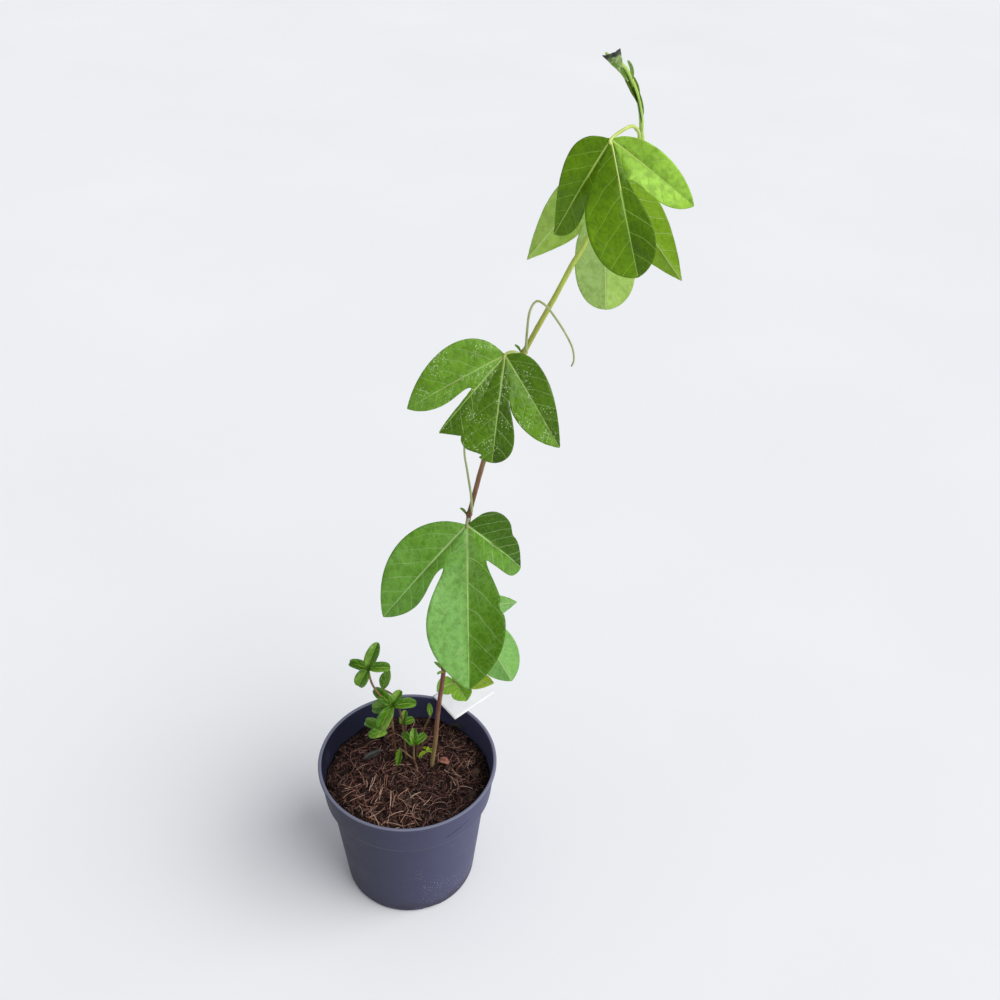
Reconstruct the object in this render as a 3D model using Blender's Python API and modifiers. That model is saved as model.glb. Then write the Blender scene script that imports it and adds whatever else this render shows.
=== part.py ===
"""A passion flower vine in its nursery pot.

Metres, +Z up. The origin is the middle of the pot's foot, and the pot is seen from -Y.
"""

import math

import bmesh
import bpy
from mathutils import Vector

MM = 0.001
GAP = 0.3
POT_STEPS = 40
POT_HEIGHT = 107.0
RIM_RADIUS = 60.0
SOIL_TOP = 90.0
DRAIN_HOLES = 6
BLADE = 0.66
WELD = 0.00004
UP = Vector((0.0, 0.0, 1.0))

FRESH_GREEN = (0.16, 0.36, 0.07)
PALE_GREEN = (0.30, 0.50, 0.20)
YOUNG_GREEN = (0.12, 0.28, 0.06)
STEM_BROWN = (0.20, 0.09, 0.06)
POT_GREY = (0.055, 0.06, 0.085)
SOIL_BROWN = (0.07, 0.04, 0.03)
TAG_WHITE = (0.85, 0.85, 0.86)


# Scene helpers


def clear_scene():
    for thing in list(bpy.data.objects):
        bpy.data.objects.remove(thing, do_unlink=True)
    for name in ("potted_vine", "cutters"):
        group = bpy.data.collections.new(name)
        bpy.context.scene.collection.children.link(group)


def add_object(name, data, group="potted_vine"):
    thing = bpy.data.objects.new(name, data)
    bpy.data.collections[group].objects.link(thing)
    return thing


def applied(thing, name=None):
    """A plain mesh object in place of one with modifiers or of a curve, its caps welded."""
    bpy.context.view_layer.update()
    graph = bpy.context.evaluated_depsgraph_get()
    mesh = bpy.data.meshes.new_from_object(thing.evaluated_get(graph), depsgraph=graph)
    if thing.type == "CURVE":
        weld(mesh)
    name = name or thing.name
    place = thing.matrix_world.copy()
    bpy.data.objects.remove(thing, do_unlink=True)
    made = add_object(name, mesh)
    made.matrix_world = place
    return made


def weld(mesh):
    bm = bmesh.new()
    bm.from_mesh(mesh)
    bmesh.ops.remove_doubles(bm, verts=bm.verts, dist=0.000005)
    bmesh.ops.recalc_face_normals(bm, faces=bm.faces)
    bm.to_mesh(mesh)
    bm.free()


def mesh_object(name, bm, group="potted_vine"):
    mesh = bpy.data.meshes.new(name)
    bm.to_mesh(mesh)
    bm.free()
    return add_object(name, mesh, group)


def cut(target, cutter):
    modifier = target.modifiers.new("cut", "BOOLEAN")
    modifier.operation = "DIFFERENCE"
    modifier.solver = "EXACT"
    modifier.object = cutter
    cutter.hide_render = True
    cutter.display_type = "WIRE"


def fused(name, pieces):
    """One solid from pieces that run into each other."""
    body = pieces[0]
    for piece in pieces[1:]:
        modifier = body.modifiers.new("join", "BOOLEAN")
        modifier.operation = "UNION"
        modifier.solver = "MANIFOLD"
        modifier.object = piece
        body = applied(body)
        bpy.data.objects.remove(piece, do_unlink=True)
    body.name = name
    return body


def finish(thing, colour, roughness=0.5):
    """The piece's own material, and smooth shading on its round sides."""
    surface = bpy.data.materials.new(thing.name + "_surface")
    surface.use_nodes = True
    shader = surface.node_tree.nodes["Principled BSDF"]
    shader.inputs["Base Color"].default_value = (*colour, 1.0)
    shader.inputs["Roughness"].default_value = roughness
    shader.inputs["Metallic"].default_value = 0.0
    thing.data.materials.clear()
    thing.data.materials.append(surface)
    if thing.type == "MESH":
        thing.data.shade_smooth()
    return thing


# Turned pieces, cutters and tubes


def turned(name, profile, steps=POT_STEPS):
    """A solid of revolution; the profile is (radius, height) in mm, down its outer side."""
    bm = bmesh.new()
    points = [bm.verts.new((radius * MM, 0.0, height * MM)) for radius, height in profile]
    for first, second in zip(points, points[1:]):
        bm.edges.new((first, second))
    thing = mesh_object(name, bm)
    screw = thing.modifiers.new("turn", "SCREW")
    screw.axis = "Z"
    screw.angle = math.tau
    screw.steps = steps
    screw.render_steps = steps
    screw.use_merge_vertices = True
    screw.merge_threshold = 0.0001
    thing = applied(thing)
    weld(thing.data)
    return thing


def upright_cutters(name, places, radius, low, high, sides):
    """Upright cylinders at (x, y) places in mm, as one cutter."""
    bm = bmesh.new()
    for x, y in places:
        made = bmesh.ops.create_cone(
            bm, cap_ends=True, segments=sides,
            radius1=radius * MM, radius2=radius * MM, depth=(high - low) * MM,
        )
        middle = (x * MM, y * MM, (low + high) / 2.0 * MM)
        bmesh.ops.translate(bm, verts=made["verts"], vec=middle)
    return mesh_object(name, bm, "cutters")


def ring_places(count, radius, first):
    turns = [math.radians(first + 360.0 * index / count) for index in range(count)]
    return [(radius * math.cos(turn), radius * math.sin(turn)) for turn in turns]


def catmull(a, b, c, d, t):
    return 0.5 * (
        2.0 * b + (c - a) * t + (2.0 * a - 5.0 * b + 4.0 * c - d) * t * t
        + (3.0 * b - a - 3.0 * c + d) * t * t * t
    )


def smooth_path(points, steps):
    """A Catmull-Rom run through (x, y, z, radius) points."""
    run = []
    for index in range(len(points) - 1):
        around = (
            points[max(index - 1, 0)], points[index], points[index + 1],
            points[min(index + 2, len(points) - 1)],
        )
        for step in range(steps):
            run.append(tuple(catmull(*values, step / steps) for values in zip(*around)))
    run.append(tuple(points[-1]))
    return run


def tube(name, points, steps=3):
    """A round stem with flat ends through (x, y, z, radius) points in mm."""
    run = smooth_path(points, steps) if steps > 1 else points
    curve = bpy.data.curves.new(name, "CURVE")
    curve.dimensions = "3D"
    curve.bevel_depth = MM
    curve.bevel_resolution = 2
    curve.use_fill_caps = True
    curve.resolution_u = 1
    curve.render_resolution_u = 0
    spline = curve.splines.new("POLY")
    spline.points.add(len(run) - 1)
    for point, (x, y, z, radius) in zip(spline.points, run):
        point.co = (x * MM, y * MM, z * MM, 1.0)
        point.radius = radius
    return applied(add_object(name, curve))


# Leaf blades


def leaf_axes(heading, droop, roll):
    """The leaf's own X (middle lobe), Y and Z (upper face) as world directions."""
    turn = math.radians(heading)
    dip = math.radians(droop)
    lean = math.radians(roll)
    level_part = math.cos(dip)
    along = Vector((level_part * math.cos(turn), level_part * math.sin(turn), -math.sin(dip)))
    level = UP.cross(along).normalized()
    across = level * math.cos(lean) + along.cross(level) * math.sin(lean)
    return along, across, along.cross(across)


def lobe(angle, lift, length, curl, left, right, bumps_left=(), bumps_right=(), fold=12.0):
    """One lobe of a blade. Its sides are (u, w, a, w1, b, w2): the start of the free margin
    and the two handles of the curve from there to the tip, as parts of the lobe's length.
    """
    return {
        "angle": math.radians(angle), "lift": math.radians(lift), "length": length * MM,
        "curl": math.radians(curl), "fold": math.radians(fold),
        1: (left, bumps_left), -1: (right, bumps_right),
    }


def lobe_point(part, u, w):
    """A point in leaf axes: u runs 0..1 to the tip, w is the signed distance to the side."""
    curl = part["curl"]
    start = part["lift"] + curl / 2.0
    arc = part["length"] * (curl / 2.0) / math.sin(curl / 2.0)
    lean = start - curl * u
    ahead = arc / curl * (math.sin(start) - math.sin(lean))
    rise = arc / curl * (math.cos(lean) - math.cos(start))
    out = Vector((math.cos(part["angle"]), math.sin(part["angle"]), 0.0))
    side = Vector((-out.y, out.x, 0.0))
    normal = UP * math.cos(lean) - out * math.sin(lean)
    tilt = part["fold"]
    return out * ahead + UP * rise + side * w * math.cos(tilt) + normal * abs(w) * math.sin(tilt)


def bezier(a, b, c, d, t):
    s = 1.0 - t
    return a * s * s * s + 3.0 * b * s * s * t + 3.0 * c * s * t * t + d * t * t * t


def margin(part, side, t):
    """(u, w) on a free margin: t is 0 at the sinus or petiole and 1 at the tip."""
    (u_start, w_start, a, w1, b, w2), bumps = part[side]
    rest = 1.0 - u_start
    u = bezier(u_start, u_start + a * rest, 1.0 - b * rest, 1.0, t)
    w = bezier(w_start, w1, w2, 0.0, t)
    for place, spread, height in bumps:
        w += height * math.exp(-(((t - place) / spread) ** 2)) * (1.0 - t) ** 0.3
    return u, side * w * part["length"]


def blade_point(part, sinuses, t, v, shared):
    """t runs from the petiole to the tip, v from -1 on the right margin to 1 on the left."""
    starts = (part[1][0][0], part[-1][0][0])
    hub = 0.85 * (sum(starts) / 2.0 if min(starts) > 0.0 else max(starts))
    if t <= shared:
        middle = hub * t / shared
        after = 0.0
    else:
        after = (t - shared) / (1.0 - shared)
        middle = hub + (1.0 - hub) * after
    side = 1 if v > 0.0 else -1
    across = abs(v)
    sinus = sinuses[side]
    if sinus is not None and t <= shared:
        return lobe_point(part, middle, 0.0).lerp(sinus * (t / shared), across)
    if sinus is None:
        near = min(1.0, t * 8.0)
        u, w = margin(part, side, t)
        u, w = u * near, w * near
        shift = Vector()
    else:
        u, w = margin(part, side, after)
        shift = (sinus - lobe_point(part, *margin(part, side, 0.0))) * (1.0 - after) ** 2
    return lobe_point(part, middle + (u - middle) * across, w * across) + shift * across


def blade(name, lobes, rows, columns, shared, base, axes, thickness=BLADE):
    """A flat blade with cut lobes, its lobes welded along the run to each sinus."""
    cuts = []
    for right, left in zip(lobes, lobes[1:]):
        one = lobe_point(right, *margin(right, 1, 0.0))
        two = lobe_point(left, *margin(left, -1, 0.0))
        cuts.append((one + two) / 2.0)
    along, across, normal = axes
    bm = bmesh.new()
    for index, part in enumerate(lobes):
        sinuses = {
            1: cuts[index] if index < len(cuts) else None,
            -1: cuts[index - 1] if index > 0 else None,
        }
        grid = bmesh.ops.create_grid(bm, x_segments=2 * columns, y_segments=rows, size=1.0)
        for vertex in grid["verts"]:
            t = (vertex.co.y + 1.0) / 2.0
            place = blade_point(part, sinuses, t, vertex.co.x, shared)
            vertex.co = base + along * place.x + across * place.y + normal * place.z
    bmesh.ops.remove_doubles(bm, verts=bm.verts, dist=WELD)
    bmesh.ops.recalc_face_normals(bm, faces=bm.faces)
    bmesh.ops.triangulate(bm, faces=bm.faces)
    thing = mesh_object(name, bm)
    solid = thing.modifiers.new("thickness", "SOLIDIFY")
    solid.thickness = thickness * MM
    solid.offset = 0.0
    return applied(thing)


def vine_leaf(name, base, turn, lobes, petiole, rows=10, columns=3):
    """A large blade on its petiole, joined as one solid. Places are in mm."""
    axes = leaf_axes(*turn)
    root = Vector(base) * MM
    face = blade(name, lobes, rows, columns, 4.0 / rows, root, axes)
    end = Vector(base) + axes[0] * 4.0
    stalk = tube(name + "_petiole", [*petiole, (*base, 0.8), (*end, 0.5)], steps=2)
    return fused(name, [face, stalk])


def fan(name, centre, lobes, turn=(90.0, -35.0, 0.0), rows=5):
    """A small young leaf of rounded lobes; each lobe is (angle, length, half width)."""
    parts = []
    for index, (angle, length, width) in enumerate(lobes):
        free = (0.0, 0.0, 0.1, width, 0.15, width)
        joined = (0.42, 0.24, 0.25, width, 0.15, width)
        left = free if index == len(lobes) - 1 else joined
        right = free if index == 0 else joined
        lift = 8.0 if index % 2 else -4.0
        parts.append(lobe(angle, lift, length, 50.0, left, right, fold=16.0))
    return blade(name, parts, rows, 2, 2.0 / rows, Vector(centre) * MM, leaf_axes(*turn), 0.7)


def single(name, base, turn, length, width, curl=30.0, fold=14.0, rows=6):
    """A small simple leaf."""
    edge = (0.0, 0.0, 0.3, width, 0.3, width)
    part = lobe(0.0, 0.0, length, curl, edge, edge, fold=fold)
    return blade(name, [part], rows, 2, 2.0 / rows, Vector(base) * MM, leaf_axes(*turn), 0.7)


# Pot, potting mix and tag


INNER_WALL = [
    (57.6, 106.4), (57.4, 104.0), (55.3, 82.4), (54.2, 80.9), (51.9, 79.2), (51.2, 77.0),
    (48.6, 50.0), (45.5, 20.0), (43.9, 5.4), (43.0, 4.0),
]
OUTER_WALL = [
    (58.2, 107.0), (59.5, POT_HEIGHT), (RIM_RADIUS, 106.2), (RIM_RADIUS, 105.0), (59.7, 104.2),
    (58.8, 104.0), (57.8, 93.0), (56.6, 82.0), (55.8, 80.6), (53.4, 78.8), (52.5, 77.0),
    (49.9, 50.0), (46.8, 20.0), (45.2, 5.0), (44.6, 1.4), (43.4, 0.0),
]
FOOT = [(38.4, 0.0), (37.6, 2.4), (12.0, 2.4), (12.0, 0.0), (0.0, 0.0)]


def make_pot():
    pot = turned("pot", [(0.0, 4.0), *reversed(INNER_WALL), *OUTER_WALL, *FOOT])
    drains = ring_places(DRAIN_HOLES, 30.0, 30.0)
    cut(pot, upright_cutters("drain_cutters", drains, 4.2, -1.0, 8.0, 14))
    gaps = ring_places(DRAIN_HOLES, 41.5, 52.0)
    cut(pot, upright_cutters("foot_cutters", gaps, 6.0, -4.0, 2.0, 12))
    return finish(applied(pot), POT_GREY, 0.55)


def soil_height(x, y):
    """The uneven top of the mix in metres, a little lower at the wall."""
    reach = math.hypot(x, y) / 0.055
    waves = math.sin(x * 210.0 + 1.3) * math.cos(y * 170.0)
    waves += 0.6 * math.sin(x * 420.0 - y * 380.0 + 0.7)
    return (SOIL_TOP + waves - 1.6 * reach ** 4) * MM


def make_mix(holes):
    wall = [(radius - GAP - 0.15, height) for radius, height in INNER_WALL[2:-1]]
    top = [(0.0, SOIL_TOP), (15.0, SOIL_TOP), (26.0, SOIL_TOP), (36.0, SOIL_TOP), (46.0, SOIL_TOP)]
    mix = turned("potting_mix", [*top, (55.4, 88.5), *wall, (42.6, 4.4), (0.0, 4.4)])
    for vertex in mix.data.vertices:
        if vertex.co.z > 0.0895:
            vertex.co.z = soil_height(vertex.co.x, vertex.co.y)
    for x, y, radius, low in holes:
        cut(mix, upright_cutters("root_cutter", [(x, y)], radius + GAP, low - GAP, 99.0, 10))
    return finish(applied(mix), SOIL_BROWN, 0.9)


def make_tag():
    """The blank white tag that lies over the rim at the back right."""
    bm = bmesh.new()
    bmesh.ops.create_cube(bm, size=1.0)
    long_side = Vector((0.765, 0.632, 0.121)).normalized()
    normal = Vector((-0.070, -0.170, 0.983))
    short_side = normal.cross(long_side).normalized()
    normal = long_side.cross(short_side)
    corner = Vector((30.3, 36.7, 106.6))
    for vertex in bm.verts:
        local = vertex.co + Vector((0.5, 0.5, 0.0))
        place = corner + long_side * local.x * 36.0 + short_side * local.y * 26.0 + normal * local.z * 0.7
        vertex.co = place * MM
    bmesh.ops.recalc_face_normals(bm, faces=bm.faces)
    finish(mesh_object("plant_tag", bm), TAG_WHITE, 0.5)


# The vine


STEM_RUN = [
    (15.7, 9.5, 76.5, 1.60), (15.7, 9.5, 92.0, 1.62), (18.4, 8.5, 116.0, 1.55), (20.5, 7.5, 144.5, 1.52),
    (22.7, 7.0, 165.5, 1.52), (24.8, 6.0, 186.4, 2.10), (28.6, 4.0, 212.7, 1.46), (32.7, 2.0, 238.0, 1.90),
    (37.0, -1.0, 281.6, 1.42), (40.5, -4.0, 317.8, 2.00), (44.0, -5.0, 335.5, 1.42), (48.5, -6.0, 356.6, 1.40),
    (56.6, -7.0, 390.9, 1.40), (68.2, -6.0, 424.4, 2.00), (75.8, -4.0, 440.2, 1.38), (83.2, -1.0, 454.6, 1.36),
    (90.5, 2.0, 469.7, 1.34), (96.4, 4.0, 480.6, 1.32), (102.7, 6.0, 496.1, 1.32), (106.4, 7.0, 505.9, 1.85),
    (114.3, 7.0, 520.9, 1.22), (119.3, 6.0, 533.0, 1.65), (118.5, 4.0, 542.1, 1.10), (116.3, 1.0, 551.3, 1.05),
    (112.7, -3.0, 560.6, 1.00), (108.0, -7.0, 568.7, 0.95), (103.0, -10.0, 573.3, 0.85), (98.8, -12.0, 576.3, 0.60),
]
NODE_RADIUS = 1.6
TENDRIL_LOW = [
    (42.1, -6.4, 321.2, 0.70), (41.6, -8.8, 334.9, 0.65), (39.4, -4.0, 347.3, 0.62), (37.6, 0.0, 357.5, 0.60),
    (38.3, 4.0, 368.0, 0.56), (41.4, 6.0, 375.9, 0.50),
]
TENDRIL_HIGH = [
    (69.0, -9.0, 426.4, 0.70), (69.2, -12.0, 438.7, 0.66), (70.0, -16.0, 452.5, 0.62), (72.9, -18.0, 459.4, 0.60),
    (76.8, -18.0, 458.1, 0.58), (81.0, -17.0, 452.8, 0.56), (87.6, -14.0, 441.4, 0.54), (92.3, -11.0, 430.8, 0.52),
    (93.7, -10.0, 423.3, 0.50), (92.8, -9.0, 418.6, 0.46),
]


def with_nodes(points):
    """Adds a slimmer ring 3 mm before and after each swollen node of the stem."""
    run = []
    for index, point in enumerate(points):
        swollen = point[3] >= NODE_RADIUS + 0.04 and 0 < index < len(points) - 1
        here = Vector(point[:3])
        if swollen:
            before = (Vector(points[index - 1][:3]) - here).normalized() * 3.0 + here
            run.append((*before, points[index - 1][3]))
        run.append(point)
        if swollen:
            after = (Vector(points[index + 1][:3]) - here).normalized() * 3.0 + here
            run.append((*after, points[index + 1][3]))
    return run


def make_stem():
    finish(tube("vine_stem", with_nodes(STEM_RUN), steps=1), STEM_BROWN)
    finish(tube("tendril_low", TENDRIL_LOW, steps=3), PALE_GREEN)
    finish(tube("tendril_high", TENDRIL_HIGH, steps=2), PALE_GREEN)


LOWEST = [
    lobe(-93.5, 7.5, 14.0, 20.0, (0.55, 0.42, 0.3, 0.55, 0.3, 0.5), (0.0, 0.0, 0.1, 0.7, 0.3, 0.6)),
    lobe(-8.0, 0.0, 17.5, 25.0, (0.55, 0.40, 0.3, 0.50, 0.3, 0.4), (0.60, 0.34, 0.3, 0.50, 0.3, 0.4)),
    lobe(36.7, 15.8, 29.6, 25.0, (0.0, 0.0, 0.1, 0.42, 0.3, 0.34), (0.36, 0.26, 0.3, 0.34, 0.3, 0.26)),
]
LOW_FAR = [
    lobe(-65.5, 10.9, 31.8, 30.0, (0.40, 0.26, 0.2, 0.30, 0.3, 0.20), (0.0, 0.0, 0.1, 0.34, 0.3, 0.24)),
    lobe(0.0, 0.0, 55.1, 24.0, (0.30, 0.17, 0.2, 0.30, 0.2, 0.36), (0.30, 0.17, 0.2, 0.30, 0.2, 0.36)),
    lobe(54.6, 5.3, 34.7, 30.0, (0.0, 0.0, 0.1, 0.34, 0.3, 0.28), (0.42, 0.28, 0.2, 0.32, 0.3, 0.26)),
]
BROADEST = [
    lobe(-42.0, -6.6, 68.6, 30.0, (0.38, 0.10, 0.2, 0.03, 0.45, 0.30), (0.0, 0.0, 0.18, 0.37, 0.35, 0.43),
         fold=8.0),
    lobe(1.4, 0.0, 89.9, 30.0, (0.25, 0.105, 0.12, 0.10, 0.44, 0.44), (0.28, 0.15, 0.12, 0.15, 0.45, 0.47),
         bumps_left=((0.48, 0.04, -0.03),), fold=10.0),
    lobe(57.5, -40.5, 48.8, 30.0, (0.0, 0.0, 0.10, 0.66, 0.3, 0.18), (0.44, 0.17, 0.1, 0.12, 0.05, 0.30),
         bumps_left=((0.60, 0.07, -0.05),), fold=10.0),
]
MIDDLE = [
    lobe(-53.7, -5.9, 56.3, 30.0, (0.40, 0.12, 0.1, 0.05, 0.45, 0.26), (0.0, 0.0, 0.10, 0.40, 0.45, 0.42)),
    lobe(-32.5, -2.9, 51.0, 30.0, (0.85, 0.18, 0.3, 0.14, 0.3, 0.06), (0.46, 0.033, 0.3, 0.015, 0.3, 0.03),
         fold=4.0),
    lobe(0.9, 0.0, 54.4, 30.0, (0.41, 0.09, 0.1, 0.07, 0.12, 0.36), (0.80, 0.30, 0.3, 0.34, 0.25, 0.20),
         bumps_right=((0.62, 0.10, -0.12),), fold=8.0),
    lobe(39.0, -7.4, 54.4, 30.0, (0.0, 0.0, 0.1, 0.38, 0.4, 0.20), (0.37, 0.19, 0.2, 0.26, 0.4, 0.26)),
]
HIGH_FAR = [
    lobe(-34.5, 1.1, 69.3, 24.0, (0.42, 0.14, 0.2, 0.22, 0.4, 0.16), (0.0, 0.0, 0.2, 0.30, 0.4, 0.20)),
    lobe(-0.5, 0.0, 71.5, 30.0, (0.42, 0.14, 0.2, 0.24, 0.02, 0.30), (0.42, 0.13, 0.2, 0.24, 0.02, 0.30)),
    lobe(41.4, 3.4, 60.3, 24.0, (0.0, 0.0, 0.2, 0.32, 0.4, 0.20), (0.48, 0.15, 0.2, 0.24, 0.4, 0.14)),
]
HIGH_NEAR = [
    lobe(-45.6, -19.0, 50.9, 30.0, (0.50, 0.09, 0.1, 0.09, 0.25, 0.28), (0.0, 0.0, 0.10, 0.46, 0.45, 0.18),
         fold=8.0),
    lobe(0.0, 0.0, 62.6, 34.0, (0.33, 0.06, 0.12, 0.05, 0.25, 0.37), (0.37, 0.22, 0.2, 0.34, 0.10, 0.34)),
    lobe(41.4, -17.0, 49.3, 30.0, (0.0, 0.0, 0.15, 0.24, 0.4, 0.26), (0.33, 0.19, 0.2, 0.12, 0.35, 0.30)),
]


def make_leaves():
    finish(vine_leaf("leaf_1", (31.0, 24.0, 156.0), (-53.2, 4.0, 12.9), LOWEST,
                     [(25.0, 9.6, 186.2, 0.75), (27.0, 17.0, 176.0, 0.70)], rows=8, columns=2), FRESH_GREEN)
    finish(vine_leaf("leaf_2", (39.5, 20.0, 223.8), (-32.3, 51.6, -131.0), LOW_FAR,
                     [(34.0, 5.2, 238.5, 0.80), (37.2, 13.0, 237.0, 0.75)], rows=9), PALE_GREEN)
    finish(vine_leaf("leaf_3", (40.0, -22.0, 323.9), (-88.6, 44.5, -0.4), BROADEST,
                     [(40.4, -7.4, 316.8, 0.85), (40.2, -15.0, 322.0, 0.80)]), FRESH_GREEN)
    finish(vine_leaf("leaf_4", (58.5, -22.0, 431.5), (-101.3, 54.7, -9.8), MIDDLE,
                     [(66.0, -9.2, 425.0, 0.85), (62.0, -16.0, 430.0, 0.80)]), FRESH_GREEN)
    finish(vine_leaf("leaf_5", (104.1, 22.0, 510.0), (-53.3, 82.4, -138.1), HIGH_FAR,
                     [(106.2, 10.4, 507.0, 0.80), (105.0, 17.0, 511.5, 0.75)]), PALE_GREEN)
    finish(vine_leaf("leaf_6", (103.3, -18.0, 540.7), (-65.6, 56.5, 27.9), HIGH_NEAR,
                     [(118.2, 3.3, 533.3, 0.80), (116.5, -4.0, 540.0, 0.80), (112.0, -10.5, 544.0, 0.80)]),
           FRESH_GREEN)


def make_tip():
    """The two narrow folded young leaves that lie beside the growing tip."""
    upper = single("young_leaf_upper", (112.4, -4.4, 566.0), (212.0, -48.0, 0.0), 17.0, 0.17, 40.0, 40.0)
    lower = single("young_leaf_lower", (109.6, -7.6, 563.4), (216.0, -38.0, 0.0), 16.0, 0.17, 30.0, 40.0)
    finish(upper, YOUNG_GREEN)
    finish(lower, YOUNG_GREEN)


def make_side_shoots():
    """Short shoots at the vine's foot: each stem with its leaves is one piece."""
    stem = tube("left_stem", [
        (-9.7, 15.8, 80.0, 0.9), (-9.7, 15.8, 93.0, 0.9), (-10.9, 12.0, 131.9, 0.8),
        (-12.3, 11.0, 144.2, 0.8), (-21.9, 10.0, 165.0, 0.75), (-24.1, 8.2, 182.5, 0.7)], steps=2)
    top = fan("top", (-24.1, 8.0, 182.0), [
        (-82.0, 14.5, 0.36), (-21.0, 18.5, 0.30), (75.0, 12.5, 0.42), (150.0, 13.5, 0.44)])
    middle = fan("middle", (-9.8, 9.4, 147.5), [
        (-80.0, 16.0, 0.34), (-31.0, 12.0, 0.38), (50.0, 16.0, 0.36), (96.0, 15.0, 0.40), (154.0, 18.0, 0.38)])
    neck = tube("neck", [(-12.2, 11.0, 143.6, 0.7), (-9.8, 9.4, 147.7, 0.7)], steps=1)
    low = fan("low", (-10.7, 12.3, 127.6), [(76.0, 16.0, 0.36), (118.0, 13.5, 0.40)])
    finish(fused("shoot_left", [stem, neck, top, middle, low]), YOUNG_GREEN)

    stem = tube("back_stem", [
        (-3.2, 18.0, 80.0, 0.85), (-3.2, 18.0, 93.0, 0.85), (-5.0, 19.0, 125.0, 0.75),
        (-9.5, 20.5, 146.0, 0.7), (-13.6, 20.0, 155.4, 0.65)], steps=2)
    oval = single("oval", (-13.6, 20.0, 154.8), (60.0, -50.0, 0.0), 14.0, 0.40)
    fresh = fan("fresh", (-4.6, 18.6, 120.0), [(-60.0, 9.0, 0.40), (-12.0, 10.0, 0.36)])
    finish(fused("shoot_back", [stem, oval, fresh]), YOUNG_GREEN)

    stem = tube("thin_stem", [
        (5.0, 17.0, 80.0, 0.8), (5.0, 17.0, 96.0, 0.8), (9.5, 18.0, 115.0, 0.65),
        (14.5, 19.0, 128.5, 0.55)], steps=2)
    leaf = single("thin_leaf", (14.4, 19.0, 128.0), (100.0, -40.0, 0.0), 9.0, 0.30)
    finish(fused("shoot_thin", [stem, leaf]), YOUNG_GREEN)

    stem = tube("bud_stem", [
        (5.5, 4.0, 80.0, 0.85), (5.5, 4.0, 93.0, 0.85), (4.0, 2.5, 104.0, 0.75),
        (2.0, 4.5, 110.5, 0.6)], steps=2)
    crown = fan("crown", (2.0, 4.5, 110.0), [(-44.0, 11.0, 0.38), (2.0, 11.5, 0.34), (46.0, 11.0, 0.38)])
    spoon = single("spoon", (4.0, 2.4, 103.6), (215.0, 8.0, 0.0), 15.0, 0.26)
    finish(fused("shoot_front", [stem, crown, spoon]), YOUNG_GREEN)


SHOOT_FEET = [
    (15.7, 9.5, 1.64, 76.5), (-9.7, 15.8, 0.95, 80.0), (-3.2, 18.0, 0.92, 80.0), (5.0, 17.0, 0.92, 80.0),
    (5.5, 4.0, 0.92, 80.0),
]


def main():
    clear_scene()
    make_pot()
    make_mix(SHOOT_FEET)
    make_tag()
    make_stem()
    make_leaves()
    make_tip()
    make_side_shoots()


main()
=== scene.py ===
"""The finished look of the potted passion flower vine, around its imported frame."""

import math

import bmesh
import bpy
from mathutils import Matrix, Vector, noise


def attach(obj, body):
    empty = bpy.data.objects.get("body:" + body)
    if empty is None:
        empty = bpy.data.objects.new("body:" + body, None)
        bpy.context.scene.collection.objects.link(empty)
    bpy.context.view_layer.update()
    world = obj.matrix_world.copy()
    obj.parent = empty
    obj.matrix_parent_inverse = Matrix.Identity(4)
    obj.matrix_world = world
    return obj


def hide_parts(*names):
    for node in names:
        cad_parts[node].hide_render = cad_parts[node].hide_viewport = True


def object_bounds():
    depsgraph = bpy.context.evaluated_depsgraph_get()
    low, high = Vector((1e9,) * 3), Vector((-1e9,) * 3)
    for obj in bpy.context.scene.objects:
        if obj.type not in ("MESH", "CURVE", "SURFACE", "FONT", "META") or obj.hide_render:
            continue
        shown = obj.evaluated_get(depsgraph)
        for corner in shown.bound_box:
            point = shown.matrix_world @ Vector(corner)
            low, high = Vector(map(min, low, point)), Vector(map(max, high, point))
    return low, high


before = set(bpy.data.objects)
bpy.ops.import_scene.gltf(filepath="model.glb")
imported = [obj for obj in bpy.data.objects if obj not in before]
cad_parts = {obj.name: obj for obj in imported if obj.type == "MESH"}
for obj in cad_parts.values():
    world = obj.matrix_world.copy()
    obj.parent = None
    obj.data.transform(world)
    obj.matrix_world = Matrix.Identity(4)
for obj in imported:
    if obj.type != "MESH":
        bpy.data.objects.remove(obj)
CAD_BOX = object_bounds()

MM = 0.001
CM = 0.01
CM_PER_METRE = 100.0
UP = Vector((0.0, 0.0, 1.0))
SEED = 7


# Objects


def in_scene(name, data):
    thing = bpy.data.objects.new(name, data)
    bpy.context.collection.objects.link(thing)
    return thing


def mesh_object(name, bm):
    mesh = bpy.data.meshes.new(name)
    bm.to_mesh(mesh)
    bm.free()
    return in_scene(name, mesh)


def applied(thing):
    """The object with its modifiers made part of a plain mesh."""
    bpy.context.view_layer.update()
    graph = bpy.context.evaluated_depsgraph_get()
    mesh = bpy.data.meshes.new_from_object(thing.evaluated_get(graph), depsgraph=graph)
    thing.modifiers.clear()
    thing.data = mesh
    return thing


def thickened(thing, thickness, under=0):
    """A sheet made into a slab, its thickness in mm; under counts the slots to its underside's material."""
    solid = thing.modifiers.new("thickness", "SOLIDIFY")
    solid.thickness = thickness * MM
    solid.offset = 0.0
    solid.material_offset = under
    return applied(thing)


def settle(thing, node, finish=None):
    """The piece rides on the plant, stands for its CAD node and takes a slot's finish."""
    if finish:
        thing.data.materials.append(finish)
    thing.data.shade_smooth()
    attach(thing, "root")
    if node:
        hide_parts(node)


# Camera, floor and light


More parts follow.
